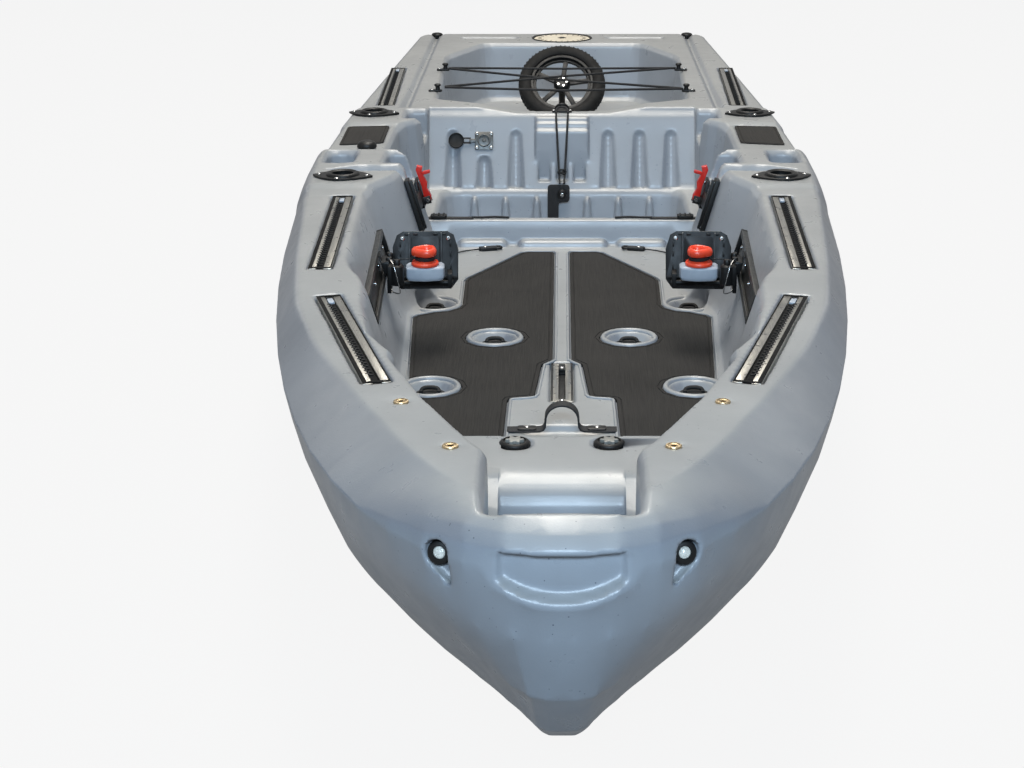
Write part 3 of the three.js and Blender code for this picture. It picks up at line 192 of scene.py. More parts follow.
def linear(red, green, blue):
    """A colour given as it looks on screen, from 0 to 255, as the shader wants it."""
    return tuple(((c / 255 + 0.055) / 1.055) ** 2.4 if c > 10 else c / 3294.6
                 for c in (red, green, blue)) + (1,)


class Finish:
    """A material built up from its Principled shader, one layer at a time."""

    def __init__(self, name, roughness, metallic=0.0, coat=0.0, specular=0.5):
        self.material = bpy.data.materials.new(name)
        self.material.use_nodes = True
        self.tree = self.material.node_tree
        self.shader = self.tree.nodes["Principled BSDF"]
        for label, value in (("Roughness", roughness), ("Metallic", metallic),
                             ("Coat Weight", coat), ("Coat Roughness", 0.2),
                             ("Specular IOR Level", specular)):
            self.shader.inputs[label].default_value = value
        self.place = self.tree.nodes.new("ShaderNodeTexCoord").outputs["Object"]

    def stretched(self, scale):
        return added(self.tree, "ShaderNodeMapping", Vector=self.place,
                     Scale=scale).outputs["Vector"]

    def noise(self, scale, detail=2.0, place=None):
        return added(self.tree, "ShaderNodeTexNoise", Vector=place or self.place, Scale=scale,
                     Detail=detail).outputs["Fac"]

    def cells(self, scale):
        return added(self.tree, "ShaderNodeTexVoronoi", Vector=self.place,
                     Scale=scale).outputs["Distance"]

    def bands(self, scale, place):
        node = added(self.tree, "ShaderNodeTexWave", Vector=place, Scale=scale)
        node.bands_direction = "DIAGONAL"
        return node.outputs["Fac"]

    def ramp(self, value, *stops):
        node = added(self.tree, "ShaderNodeValToRGB", Fac=value)
        for element, (position, colour) in zip(node.color_ramp.elements, stops):
            element.position = position
            element.color = colour
        return node.outputs["Color"]

    def blend(self, share, first, second, kind="MIX"):
        node = self.tree.nodes.new("ShaderNodeMix")
        node.data_type = "RGBA"
        node.blend_type = kind
        for number, value in ((0, share), (6, first), (7, second)):
            fill(self.tree, node.inputs[number], value)
        return node.outputs[2]

    def tinted(self, share, body, tint):
        """The body colour, multiplied by a tint as far as the share says."""
        return self.blend(share, body, self.blend(1.0, body, tint, "MULTIPLY"))

    def range(self, value, low, high, to_low, to_high):
        return added(self.tree, "ShaderNodeMapRange", Value=value, From_Min=low, From_Max=high,
                     To_Min=to_low, To_Max=to_high).outputs["Result"]

    def parts(self, vector):
        return added(self.tree, "ShaderNodeSeparateXYZ", Vector=vector).outputs

    def facing(self):
        return self.parts(self.tree.nodes.new("ShaderNodeNewGeometry").outputs["Normal"])

    def upward(self):
        """How far the surface faces up, from -1 to 1."""
        return self.facing()["Z"]

    def outward(self):
        """How far the surface faces away from the middle plane of the boat, from -1 to 1."""
        side = maths(self.tree, "SIGN", self.parts(self.place)["X"])
        return maths(self.tree, "MULTIPLY", side, self.facing()["X"])

    def colour(self, socket):
        self.tree.links.new(socket, self.shader.inputs["Base Color"])

    def rough(self, value, low, high):
        self.tree.links.new(self.range(value, 0.25, 0.75, low, high),
                            self.shader.inputs["Roughness"])

    def bump(self, *layers):
        """Layers of (height, depth in metres), the finest last."""
        normal = None
        for height, depth in layers:
            node = added(self.tree, "ShaderNodeBump", Distance=depth, Strength=0.6, Height=height)
            if normal:
                self.tree.links.new(normal, node.inputs["Normal"])
            normal = node.outputs["Normal"]
        self.tree.links.new(normal, self.shader.inputs["Normal"])


def polyethylene():
    """Rotomoulded skin: pale grey with darker flecks and a faint orange peel, with a warm tint
    painted on up-facing surfaces (painted light) and painted shade on the outward-facing flanks.
    """
    f = Finish("moulded_polyethylene", 0.42)
    body = f.ramp(f.noise(5, 4), (0.3, linear(143, 148, 155)), (0.7, linear(155, 160, 167)))
    flecks = f.ramp(f.cells(85), (0.05, linear(82, 92, 112)), (0.085, linear(255, 255, 255)))
    flecked = f.tinted(f.range(f.noise(6, 2), 0.4, 0.62, 0.1, 0.85), body, flecks)
    # Painted light: up-facing surfaces get a warm tint, as light from above would give them.
    painted_top_light = f.tinted(f.range(f.upward(), 0.35, 0.95, 0.0, 0.75), flecked, linear(255, 247, 232))
    # Painted shade: outward-facing flanks are multiplied towards a darker grey, standing in for the
    # shade they get.
    painted_flank_shade = maths(f.tree, "MULTIPLY", f.range(f.outward(), 0.2, 0.55, 0.0, 1.0),
                     f.range(f.upward(), 0.15, 0.5, 0.0, 1.0))
    f.colour(f.tinted(painted_flank_shade, painted_top_light, linear(214, 217, 224)))
    f.rough(f.noise(30, 3), 0.26, 0.37)
    f.bump((f.noise(11, 2), 0.0016), (f.noise(420, 2), 0.00025))
    return f.material


def foam():
    """Brushed closed-cell foam, with fine streaks along the boat."""
    f = Finish("brushed_foam", 0.86, specular=0.25)
    streak = f.noise(1, 3, f.stretched((900, 14, 300)))
    base = f.ramp(streak, (0.3, linear(30, 29, 28)), (0.72, linear(46, 44, 42)))
    f.colour(f.blend(f.range(f.noise(7, 4), 0.35, 0.7, 0.0, 0.35), base, linear(54, 52, 50)))
    f.bump((streak, 0.0006), (f.noise(1500, 1), 0.0002))
    return f.material


def metal(name, colour, dark, roughness, grain=(1500, 12, 1500)):
    f = Finish(name, roughness, 1.0)
    brushed = f.noise(1, 2, f.stretched(grain))
    f.colour(f.ramp(brushed, (0.25, dark), (0.75, colour)))
    f.rough(f.noise(90, 3), roughness - 0.06, roughness + 0.1)
    f.bump((brushed, 0.00008))
    return f.material


def plastic(name, colour, shade, roughness=0.4, coat=0.0, grain=1400, depth=0.00012, specular=0.5):
    f = Finish(name, roughness, 0.0, coat, specular)
    f.colour(f.ramp(f.noise(38, 4), (0.3, shade), (0.7, colour)))
    f.rough(f.noise(55, 3), roughness - 0.07, roughness + 0.09)
    f.bump((f.noise(24, 2), 0.0003), (f.noise(grain, 2), depth))
    return f.material


def woven(name, colour, shade, pitch):
    """Woven webbing or a braided cover, as crossing ridges."""
    f = Finish(name, 0.75)
    weave = f.blend(0.5, f.bands(pitch, f.place), f.bands(pitch, f.stretched((-1, 1, 1))))
    f.colour(f.ramp(weave, (0.25, shade), (0.75, colour)))
    f.bump((weave, 0.0005), (f.noise(2200, 1), 0.0001))
    return f.material


def lens():
    f = Finish("ribbed_lens", 0.12, 0.0, 0.6)
    f.colour(f.ramp(f.noise(120, 2), (0.3, linear(206, 202, 192)), (0.7, linear(240, 236, 226))))
    f.bump((f.cells(420), 0.0006))
    return f.material


SKIN = polyethylene()
FOAM = foam()
ALLOY = metal("brushed_alloy", linear(205, 203, 196), linear(158, 156, 150), 0.3)
STEEL = metal("screw_steel", linear(214, 214, 212), linear(150, 150, 150), 0.22, (400, 400, 400))
BRASS = metal("insert_brass", linear(222, 204, 170), linear(176, 152, 114), 0.3, (500, 500, 500))
DARK_ALLOY = metal("dark_alloy", linear(112, 112, 110), linear(62, 62, 62), 0.42)
BLACK = plastic("black_nylon", linear(20, 20, 20), linear(10, 10, 11), 0.46, specular=0.35)
# Very dark matt black for the track's slot bed and end blocks, also used for painted shadow in the
# gaps beside the bars.
TRACK_BLACK_AND_SHADOW = plastic("track_black", linear(13, 13, 14), linear(7, 7, 8), 0.78, specular=0.15)
RUBBER = plastic("black_rubber", linear(27, 27, 27), linear(15, 15, 15), 0.66, 0.0, 900, 0.0003,
                 0.35)
TYRE = plastic("tyre_rubber", linear(30, 29, 28), linear(18, 17, 16), 0.76, 0.0, 700, 0.0004, 0.3)
ORANGE = plastic("orange_plastic", linear(244, 84, 52), linear(226, 62, 34), 0.34, 0.3)
RED = plastic("red_plastic", linear(226, 44, 30), linear(196, 30, 20), 0.36, 0.25)
LEDGE_BLUE = plastic("ledge_plastic", linear(172, 180, 190), linear(154, 163, 175), 0.38)
CREAM = plastic("cream_plate", linear(222, 214, 196), linear(204, 195, 176), 0.5)
# Mid grey standing in for highlights on black plastic: painted highlight on the pedal tops and the
# twist plug knobs.
HIGHLIGHT_GREY = plastic("worn_edge_plastic", linear(150, 148, 142), linear(120, 118, 112), 0.42)
WEBBING = woven("black_webbing", linear(40, 40, 42), linear(16, 16, 17), 330)
BRAID = woven("braided_cord", linear(34, 34, 36), linear(12, 12, 13), 420)
LENS = lens()

# The slot name that goes with each finish
SLOTS = {SKIN.name: "hull", FOAM.name: "foam_pad", ALLOY.name: "alloy_track",
         DARK_ALLOY.name: "alloy_track", STEEL.name: "alloy_socket", BRASS.name: "brass",
         BLACK.name: "black_plastic", TRACK_BLACK_AND_SHADOW.name: "black_plastic", RUBBER.name: "black_rubber",
         TYRE.name: "black_rubber", ORANGE.name: "orange_plastic", RED.name: "red_plastic",
         LEDGE_BLUE.name: "grey_bracket", CREAM.name: "cream_plate", WEBBING.name: "black_webbing",
         BRAID.name: "black_cord", LENS.name: "light_lens"}

# Shapes: a list of points in millimetres, a list of faces, and the number of each face's finish


class Shape:
    def __init__(self, points=(), faces=(), finishes=None):
        self.points = [Vector(p) for p in points]
        self.faces = [tuple(f) for f in faces]
        self.finishes = finishes or [0] * len(self.faces)

    def __add__(self, other):
        shift = len(self.points)
        faces = self.faces + [tuple(i + shift for i in f) for f in other.faces]
        return Shape(self.points + other.points, faces, self.finishes + other.finishes)

    def at(self, matrix):
        flip = matrix.determinant() < 0
        faces = [f[::-1] for f in self.faces] if flip else self.faces
        return Shape([matrix @ p for p in self.points], faces, self.finishes)

    def moved(self, x=0, y=0, z=0):
        return self.at(Matrix.Translation((x, y, z)))

    def finish(self, number):
        return Shape(self.points, self.faces, [number] * len(self.faces))


MIRROR = Matrix.Diagonal((-1, 1, 1, 1))
SIDES = (("right", Matrix.Identity(4)), ("left", MIRROR))


def joined(shapes):
    total = Shape()
    for shape in shapes:
        total = total + shape
    return total


def rings_to_shape(rings, closed_along=False):
    """Skins rings of equal length. A ring of one point is a pole; the ends are capped otherwise."""
    shape = Shape()
    starts = []
    for ring in rings:
        starts.append((len(shape.points), len(ring)))
        shape.points.extend(Vector(p) for p in ring)
    pairs = list(zip(starts, starts[1:]))
    if closed_along:
        pairs.append((starts[-1], starts[0]))
    for (a, count_a), (b, count_b) in pairs:
        count = max(count_a, count_b)
        for i in range(count):
            j = (i + 1) % count
            if count_a == 1:
                shape.faces.append((a, b + j, b + i))
            elif count_b == 1:
                shape.faces.append((a + i, a + j, b))
            else:
                shape.faces.append((a + i, a + j, b + j, b + i))
    if not closed_along:
        for (start, count), turn in ((starts[0], -1), (starts[-1], 1)):
            if count > 1:
                shape.faces.append(tuple(range(start, start + count))[::turn])
    shape.finishes = [0] * len(shape.faces)
    return shape


def polar(radius, angle):
    return radius * math.cos(angle), radius * math.sin(angle)


def lathe(profile, segments=48, lobes=0, depth=0.0):
    """Turns (radius, height) pairs, from the foot up, round Z. A closed profile makes a ring."""
    closed = profile[0] == profile[-1]
    rings = []
    for radius, height in profile[:-1] if closed else profile:
        if radius == 0:
            rings.append([(0, 0, height)])
            continue
        ring = []
        for i in range(segments):
            angle = i / segments * math.tau
            r = radius - depth * (0.5 - 0.5 * math.cos(lobes * angle)) if lobes else radius
            ring.append((*polar(r, angle), height))
        rings.append(ring)
    return rings_to_shape(rings, closed)


def prism(outline, low, high):
    """An outline that runs anticlockwise, raised from one height to another."""
    return rings_to_shape([[(x, y, low) for x, y in outline], [(x, y, high) for x, y in outline]])


def block(x0, y0, z0, x1, y1, z1):
    return prism([(x0, y0), (x1, y0), (x1, y1), (x0, y1)], z0, z1)


def plate(half_x, half_y, radius, low, high):
    """A flat plate with round corners."""
    corners = [(-half_x, -half_y), (half_x, -half_y), (half_x, half_y), (-half_x, half_y)]
    return prism(rounded(corners, radius), low, high)


def smooth_path(points, steps=8):
    """Points on a smooth curve through the given ones."""
    places = [Vector(p) for p in points]
    path = []
    for i in range(len(places) - 1):
        a = places[max(0, i - 1)]
        b, c = places[i], places[i + 1]
        d = places[min(len(places) - 1, i + 2)]
        for k in range(steps):
            t = k / steps
            path.append(0.5 * ((2 * b) + (c - a) * t + (2 * a - 5 * b + 4 * c - d) * t * t
                               + (3 * b - a - 3 * c + d) * t ** 3))
    path.append(places[-1])
    return path


def rounded(outline, radius, steps=4):
    """Rounds the corners of a closed outline of (x, y) pairs."""
    points = [Vector(p) for p in outline]
    path = []
    for i, corner in enumerate(points):
        before, after = points[i - 1] - corner, points[(i + 1) % len(points)] - corner
        cut = min(radius, before.length * 0.48, after.length * 0.48)
        start, end = corner + before.normalized() * cut, corner + after.normalized() * cut
        for k in range(steps + 1):
            t = k / steps
            path.append(tuple(start * (1 - t) ** 2 + corner * 2 * t * (1 - t) + end * t * t))
    return path


def ribbon(line, thickness, width):
    """A flat strap along a line of (x, z) pairs, as wide as width along Y."""
    path = [Vector(p) for p in line]
    low, high = [], []
    for i, place in enumerate(path):
        along = (path[min(len(path) - 1, i + 1)] - path[max(0, i - 1)]).normalized()
        side = Vector((-along.y, along.x)) * thickness / 2
        low.append(place - side)
        high.append(place + side)
    rings = []
    for a, b in zip(low, high):
        rings.append([(a.x, -width / 2, a.y), (a.x, width / 2, a.y),
                      (b.x, width / 2, b.y), (b.x, -width / 2, b.y)])
    return rings_to_shape([ring[::-1] for ring in rings])


# From a shape to a finished piece

MERGE_DISTANCE = 0.00002


def mesh_of(name, shape, materials):
    mesh = bpy.data.meshes.new(name)
    mesh.from_pydata([p * MM for p in shape.points], [], shape.faces)
    mesh.polygons.foreach_set("material_index", shape.finishes)
    for material in materials:
        mesh.materials.append(material)
    return mesh


def finished(name, mesh, body="boat", slot=None, replaces=(), bevel=0.0, angle=30, steps=2):
    """Rounds a mesh's edges, shades it and attaches it to its body as one piece."""
    piece = linked(name, mesh)
    if bevel:
        modify(piece, "BEVEL", width=bevel * MM, segments=steps, limit_method="ANGLE",
               angle_limit=math.radians(angle), use_clamp_overlap=True)
        bake(piece)
    piece.data.polygons.foreach_set("use_smooth", [True] * len(piece.data.polygons))
    piece.data.set_sharp_from_angle(angle=math.radians(angle))
    slot = slot or SLOTS[next(m.name for m in piece.data.materials if m)]
    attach(piece, body)
    if replaces:
        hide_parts(*replaces)
    return piece


def bake(piece):
    """Turns the piece's modifiers into plain mesh."""
    graph = bpy.context.evaluated_depsgraph_get()
    old = piece.data
    piece.data = bpy.data.meshes.new_from_object(piece.evaluated_get(graph))
    piece.modifiers.clear()
    piece.data.name = old.name
    return piece


def clean(mesh, flatten=0.0, outward=False):
    """Merges doubled points, and joins faces that meet at less than flatten degrees."""
    work = bmesh.new()
    work.from_mesh(mesh)
    bmesh.ops.remove_doubles(work, verts=work.verts, dist=MERGE_DISTANCE)
    if flatten:
        bmesh.ops.dissolve_limit(work, angle_limit=math.radians(flatten), verts=work.verts,
                                 edges=work.edges)
    if outward:
        bmesh.ops.recalc_face_normals(work, faces=work.faces)
    work.to_mesh(mesh)
    work.free()
    return mesh


def piece(name, shape, *materials, **how):
    return finished(name, clean(mesh_of(name, shape, materials), outward=True), **how)


def both(name, shape, *materials, body="boat", replaces=(), **how):
    """A piece on the right-hand side and its mirror image. {} stands for the side's name."""
    for side, matrix in SIDES:
        piece(name.format(side), shape.at(matrix), *materials, body=body.format(side),
              replaces=[node.format(side) for node in replaces], **how)


def both_nodes(node, *finish, **how):
    for side, _ in SIDES:
        from_node(node.format(side), *finish, **how)


def from_node(node, material, bevel, steps=2, paint=None):
    """A copy of a CAD node with its doubles merged and its edges rounded."""
    source = frame["nodes"][node]
    mesh = source.data.copy()
    mesh.name = node + "_finished"
    clean(mesh, flatten=1.0)
    mesh.materials.clear()
    mesh.materials.append(material)
    if paint:
        extra, where = paint
        mesh.materials.append(extra)
        for face in mesh.polygons:
            face.material_index = int(where(face.center / MM, face.normal))
    return finished(node + "_finished", mesh, source["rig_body"], None, [node], bevel, steps=steps)


# Geometry Nodes trees for what repeats or follows a path


class Tree:
    """A Geometry Nodes tree under construction, with named inputs."""

    def __init__(self, name, *inputs):
        self.group = bpy.data.node_groups.new(name, "GeometryNodeTree")
        face = self.group.interface
        face.new_socket("Geometry", in_out="INPUT", socket_type="NodeSocketGeometry")
        for label, kind, value in inputs:
            socket = face.new_socket(label, in_out="INPUT", socket_type=kind)
            if value is not None:
                socket.default_value = value
        face.new_socket("Geometry", in_out="OUTPUT", socket_type="NodeSocketGeometry")
        self.given = self.group.nodes.new("NodeGroupInput").outputs

    def node(self, kind, **inputs):
        return added(self.group, kind, **inputs)

    def end(self, geometry):
        """Realizes the copies and sets their finish, as the last two nodes."""
        real = self.node("GeometryNodeRealizeInstances", Geometry=geometry)
        painted = self.node("GeometryNodeSetMaterial", Geometry=real.outputs[0],
                            Material=self.given["Finish"])
        self.node("NodeGroupOutput", Geometry=painted.outputs[0])
        return self.group

    def copies(self, points, **placing):
        """Copies of the pattern on points, ready to be drawn."""
        pattern = self.node("GeometryNodeObjectInfo",
                            Object=self.given["Pattern"]).outputs["Geometry"]
        return self.end(self.node("GeometryNodeInstanceOnPoints", Points=points, Instance=pattern,
                                  **placing).outputs[0])


PATTERN = ("Pattern", "NodeSocketObject", None)
FINISH = ("Finish", "NodeSocketMaterial", None)


def ring_tree():
    """Copies of a pattern in a ring round Z, each turned to face outwards."""
    tree = Tree("ring_of_copies", PATTERN, FINISH, ("Count", "NodeSocketInt", 12),
                ("Radius", "NodeSocketFloat", 0.05))
    circle = tree.node("GeometryNodeMeshCircle", Vertices=tree.given["Count"],
                       Radius=tree.given["Radius"])
    place = tree.node("GeometryNodeInputPosition")
    turn = tree.node("FunctionNodeAlignEulerToVector", Vector=place.outputs[0])
    turn.axis = "X"
    turn.pivot_axis = "Z"
    return tree.copies(circle.outputs[0], Rotation=turn.outputs[0])


def row_tree():
    """Copies of a pattern in a straight row."""
    tree = Tree("row_of_copies", PATTERN, FINISH, ("Count", "NodeSocketInt", 10),
                ("Step", "NodeSocketVector", (0, 0.01, 0)))
    line = tree.node("GeometryNodeMeshLine", Count=tree.given["Count"], Offset=tree.given["Step"])
    return tree.copies(line.outputs[0])


def points_tree():
    """Copies of a pattern on marked places, turned as each place's own attribute says."""
    tree = Tree("copies_on_places", PATTERN, FINISH, ("Size", "NodeSocketFloat", 1.0))
    turn = tree.node("GeometryNodeInputNamedAttribute", Name="turn")
    turn.data_type = "FLOAT_VECTOR"
    size = tree.node("ShaderNodeCombineXYZ", **dict.fromkeys("XYZ", tree.given["Size"]))
    return tree.copies(tree.given["Geometry"], Rotation=turn.outputs["Attribute"],
                       Scale=size.outputs[0])


def cord_tree():
    """A round cord along a path, with closed ends."""
    tree = Tree("cord_on_path", FINISH, ("Thickness", "NodeSocketFloat", 0.005),
                ("Sides", "NodeSocketInt", 12))
    path = tree.node("GeometryNodeMeshToCurve", Mesh=tree.given["Geometry"])
    section = tree.node("GeometryNodeCurvePrimitiveCircle", Resolution=tree.given["Sides"],
                        Radius=maths(tree.group, "MULTIPLY", tree.given["Thickness"], 0.5))
    tube = tree.node("GeometryNodeCurveToMesh", Curve=path.outputs[0],
                     Profile_Curve=section.outputs[0], Fill_Caps=True)
    smooth = tree.node("GeometryNodeSetShadeSmooth", Geometry=tube.outputs[0])
    return tree.end(smooth.outputs[0])


RING, ROW, PLACES, CORD = ring_tree(), row_tree(), points_tree(), cord_tree()


def grown(name, tree, finish, base=None, pattern=None, **sizes):
    """The plain mesh that a tree makes. The pattern is a shape in millimetres."""
    holder = linked(name, base or bpy.data.meshes.new(name))
    model = None
    if pattern:
        model = linked("pattern", clean(mesh_of("pattern", pattern, []), outward=True))
    modifier = modify(holder, "NODES", node_group=tree)
    names = {s.name: s.identifier for s in tree.interface.items_tree
             if s.item_type == "SOCKET" and s.in_out == "INPUT"}
    modifier[names["Finish"]] = finish
    if model:
        modifier[names["Pattern"]] = model
    for label, value in sizes.items():
        modifier[names[label]] = value
    graph = bpy.context.evaluated_depsgraph_get()
    mesh = bpy.data.meshes.new_from_object(holder.evaluated_get(graph))
    mesh.name = name
    bpy.data.objects.remove(holder)
    if model:
        bpy.data.objects.remove(model)
    return mesh


def placed_mesh(mesh, matrix):
    """Puts a mesh in metres where a matrix in millimetres says."""
    scaled = matrix.copy()
    scaled.translation = scaled.translation * MM
    mesh.transform(scaled)
    if matrix.determinant() < 0:
        mesh.flip_normals()
    return mesh


def cord_piece(name, paths, thickness, finish=BRAID, sides=12, **how):
    """Cords along paths of points in millimetres, as one piece."""
    base = bpy.data.meshes.new(name)
    points, edges = [], []
    for path in paths:
        start = len(points)
        points.extend(Vector(p) * MM for p in path)
        edges.extend((i, i + 1) for i in range(start, len(points) - 1))
    base.from_pydata(points, edges, [])
    mesh = grown(name, CORD, finish, base, Thickness=thickness * MM, Sides=sides)
    return finished(name, mesh, angle=60, **how)


def both_cords(name, path, thickness, finish=BRAID, sides=12, body="boat"):
    """A cord on the right-hand side and its mirror image."""
    for side, mirror in SIDES:
        cord_piece(name.format(side), [[mirror @ p for p in path]], thickness, finish, sides,
                   body=body.format(side))


def placed(matrix, points):
    return [matrix @ Vector(p) for p in points]


def copies(name, pattern, places, finish, body):
    """Copies of one pattern at the given matrices, as one piece."""
    base = bpy.data.meshes.new(name)
    base.from_pydata([m.translation * MM for m in places], [], [])
    turns = base.attributes.new("turn", "FLOAT_VECTOR", "POINT")
    for item, matrix in zip(turns.data, places):
        item.vector = Vector(matrix.to_euler())
    mesh = grown(name, PLACES, finish, base, pattern, Size=1.0)
    return finished(name, mesh, body, angle=35)


# Where things are, as in the CAD source

HALF_LENGTH = 1905
FLOOR = 141
SEAT_RIM = 197
# The deck: its level amidships, its steps going aft, and how far it rises to the bow and the stern
DECK_LEVEL = 385
DECK_STEPS = ((-235, 393), (122, 377), (455, 384), (655, 375))
STEP_LENGTH = 20
BOW_START, BOW_RISE = -1100, 33
STERN_START, STERN_RISE = 655, 10
# The foot well's walls: the rounding at their top and foot, and how far they lean over their height
WALL_TOP, WALL_FOOT, WALL_LEAN = 12, 26, 60
# The bulkhead behind the seat: its foot and top along the boat, its height and its rounding
BULKHEAD_FOOT, BULKHEAD_TOP, BULKHEAD_HEIGHT, BULKHEAD_ROUND = 598, 672, 368, 10


def clamp(value):
    return min(1.0, max(0.0, value))


def deck_height(y):
    height = DECK_LEVEL + BOW_RISE * clamp((BOW_START - y) / (HALF_LENGTH + BOW_START)) ** 1.5
    for place, level in DECK_STEPS:
        height += (level - height) * clamp((y - place) / STEP_LENGTH + 0.5)
    return height + STERN_RISE * clamp((y - STERN_START) / (HALF_LENGTH - STERN_START))


def spot(x, y, z):
    return Matrix.Translation((x, y, z))


def turned(degrees, axis):
    return Matrix.Rotation(math.radians(degrees), 4, axis)


def lean_at(y):
    """How far the foot well's wall leans outwards, in radians."""
    return math.atan(WALL_LEAN / (deck_height(y) - WALL_TOP - (FLOOR + WALL_FOOT)))


def wall_frame(edge, y, z, yaw=0.0):
    """A place on the foot well's wall, below the given edge of the deck."""
    inset = (deck_height(y) - WALL_TOP - z) * math.tan(lean_at(y))
    return spot(edge - inset / math.cos(yaw), y, z) @ Matrix.Rotation(yaw, 4, "Z")


def lean_frame(matrix, y):
    return matrix @ Matrix.Rotation(lean_at(y), 4, "Y")


def bulkhead_frame(x, z):
    """A place on the bulkhead, facing forward."""
    height = BULKHEAD_HEIGHT - BULKHEAD_ROUND - SEAT_RIM - BULKHEAD_ROUND
    slope = (BULKHEAD_TOP - BULKHEAD_FOOT - 2) / height
    place = spot(x, BULKHEAD_FOOT + slope * (z - SEAT_RIM - BULKHEAD_ROUND), z)
    return place @ Matrix.Rotation(math.pi / 2 - math.atan(slope), 4, "X")


def track_frame(start, end):
    """The start of a line along the deck, with Y along it, and its length."""
    rise = deck_height(end[1]) - deck_height(start[1])
    run = math.hypot(end[0] - start[0], end[1] - start[1])
    matrix = spot(start[0], start[1], deck_height(start[1]))
    heading = math.atan2(end[1] - start[1], end[0] - start[0])
    matrix = matrix @ Matrix.Rotation(heading - math.pi / 2, 4, "Z")
    return matrix @ Matrix.Rotation(math.atan2(rise, run), 4, "X"), math.hypot(run, rise)


SCUPPERS = (("mid", 125, -400), ("bow", 226, -680), ("aft", 251, -180))
TRACKS = (("bow", (356, -953), (239, -1381)), ("mid", (411, -285), (389, -800)),
          ("stern", (442, 1262), (426, 712)))
ROD_HOLDERS = (("mid", 426, -158), ("aft", 437, 560))
INSERTS = (("rear", 201, -1462), ("front", 129, -1637))
BRACE_YAW = -math.atan2(24, 521)
BRACE = wall_frame(358, -500, 290, BRACE_YAW)
PEDAL_X, SHAFT_Y, SHAFT_Z = -88.5, 62, -22
LEDGE = BRACE @ spot(PEDAL_X, SHAFT_Y + 20, SHAFT_Z + 26)
LATCH = lean_frame(wall_frame(318, 0, 318), 0)
BULKHEAD_SOCKET = bulkhead_frame(-186, 303)
BOW_LIGHT = spot(128, -1827, 356) @ turned(16, "Z") @ turned(76, "X")
WHEEL = spot(0, 1313, 325) @ turned(50, "X")
PADEYE = (0, 690, 364.5)
STERN_PLATE = spot(0, 1803, deck_height(1803) - 7.7)

# The moulded hull

HULL_CUTS = (-0.75, 0.45)
# Low and high corner of the box round the finger pocket's lip
POCKET_LIP = ((-100, -1912, 290), (100, -1840, 400))
# The flank: how far its foot lies under the deck, and its width and strength along the boat
FLANK_DROP = 52
FLANK_WIDTHS = ((-1740, 86), (-1534, 85), (-1371, 72), (-1176, 48), (-990, 33), (-500, 32),
                (-300, 24))
FLANK_FADES = ((-1850, 0), (-1690, 1), (-320, 1), (-150, 0))
# The shelf: its ends along the boat, its inner side, its foot, how far its wall ends below the deck
SHELF_FRONT, SHELF_REAR, SHELF_INNER, SHELF_FOOT, SHELF_TOP = -1690, -1188, 82, 205, 17
# Its outer side and a margin, the solid's level and the levels along the boat that it drops to
SHELF_SIDES = ((-1668, 72), (-1616, 100), (-1439, 170), (-1244, 234), (-1184, 226))
SHELF_MARGIN = 14
SHELF_LEVEL = 300
SHELF_DROP = ((-1420, 205), (-1345, 250))
# The bow: how deep its sides are drawn in at each height, how far aft, and its stem and inner walls
BOW_HOLLOW = ((40, 10), (110, 24), (190, 34), (310, 0))
BOW_REACH = 420
HOLLOW_PEAK = 9.48  # makes the curve t (1 - t) cubed reach 1
STEM_HALF = 15
BOW_INNER = ((-1705, 110), (-1616, 135), (-1439, 215), (-1244, 270))
# The stern deck: its slots' box, soft edge and depth, and where its long grooves lie
SLOT_ACROSS, SLOT_ALONG, SLOT_EDGE, SLOT_DEPTH = (130, 306), (1793, 1823), 7, 12
GROOVE_MIDDLE, GROOVE_HALF, GROOVE_START, GROOVE_DEPTH = 377.5, 14, 690, 7
POCKET = {"half": 65, "top": 381, "lip": 330, "lip_rise": 17, "depth": 15}


def rows(items, key, width=3, kind=float):
    """The numbers that a mesh's items hold, a row for each item."""
    flat = np.empty(len(items) * width, kind)
    items.foreach_get(key, flat)
    return flat.reshape(-1, width)


def read(table, place):
    """The value at a place, between the (place, value) pairs of a table."""
    return np.interp(place, *zip(*table))


def smooth(share):
    """A step from 0 to 1 with soft ends."""
    share = np.clip(share, 0, 1)
    return share * share * (3 - 2 * share)


def flatten_flanks(points, decks, across, along, up):
    """Planes the round shoulders ahead of the seat to a flat flank below a crisp deck edge."""
    stations = np.arange(-1900, 100, 10.0)
    nearest = np.clip(np.round((along - stations[0]) / 10).astype(int), 0, len(stations) - 1)
    edge = np.zeros(len(stations))
    level = np.abs(up - (decks - FLANK_DROP)) < 7
    np.maximum.at(edge, nearest[level], across[level])
    edge = np.convolve(np.pad(edge, 3, "edge"), np.full(7, 1 / 7), "valid")
    width = read(FLANK_WIDTHS, along)
    share = (np.interp(along, stations, edge) - across) / width
    limit = decks - FLANK_DROP * (1 - share)
    fade = read(FLANK_FADES, along)
    extra = np.where((share > -0.2) & (share < 1), np.maximum(0, up - limit), 0)
    points[:, 2] -= extra * fade * MM


def lower_shelf(points, decks, across, along, up):
    """Brings the shelf beside the bench down to the bench, and lower beside the trough."""
    inside = (along < SHELF_REAR) & (along > SHELF_FRONT) & (across > SHELF_INNER)
    inside &= (up > SHELF_FOOT) & (across < read(SHELF_SIDES, along) + SHELF_MARGIN)
    level = read(SHELF_DROP, along)
    top = decks - SHELF_TOP
    stretched = top - (top - up) * (top - level) / (top - SHELF_LEVEL)
    lower = np.where(up < SHELF_LEVEL + 1, np.minimum(up, level), stretched)
    chosen = inside & (up < top)
    points[chosen, 2] = lower[chosen] * MM


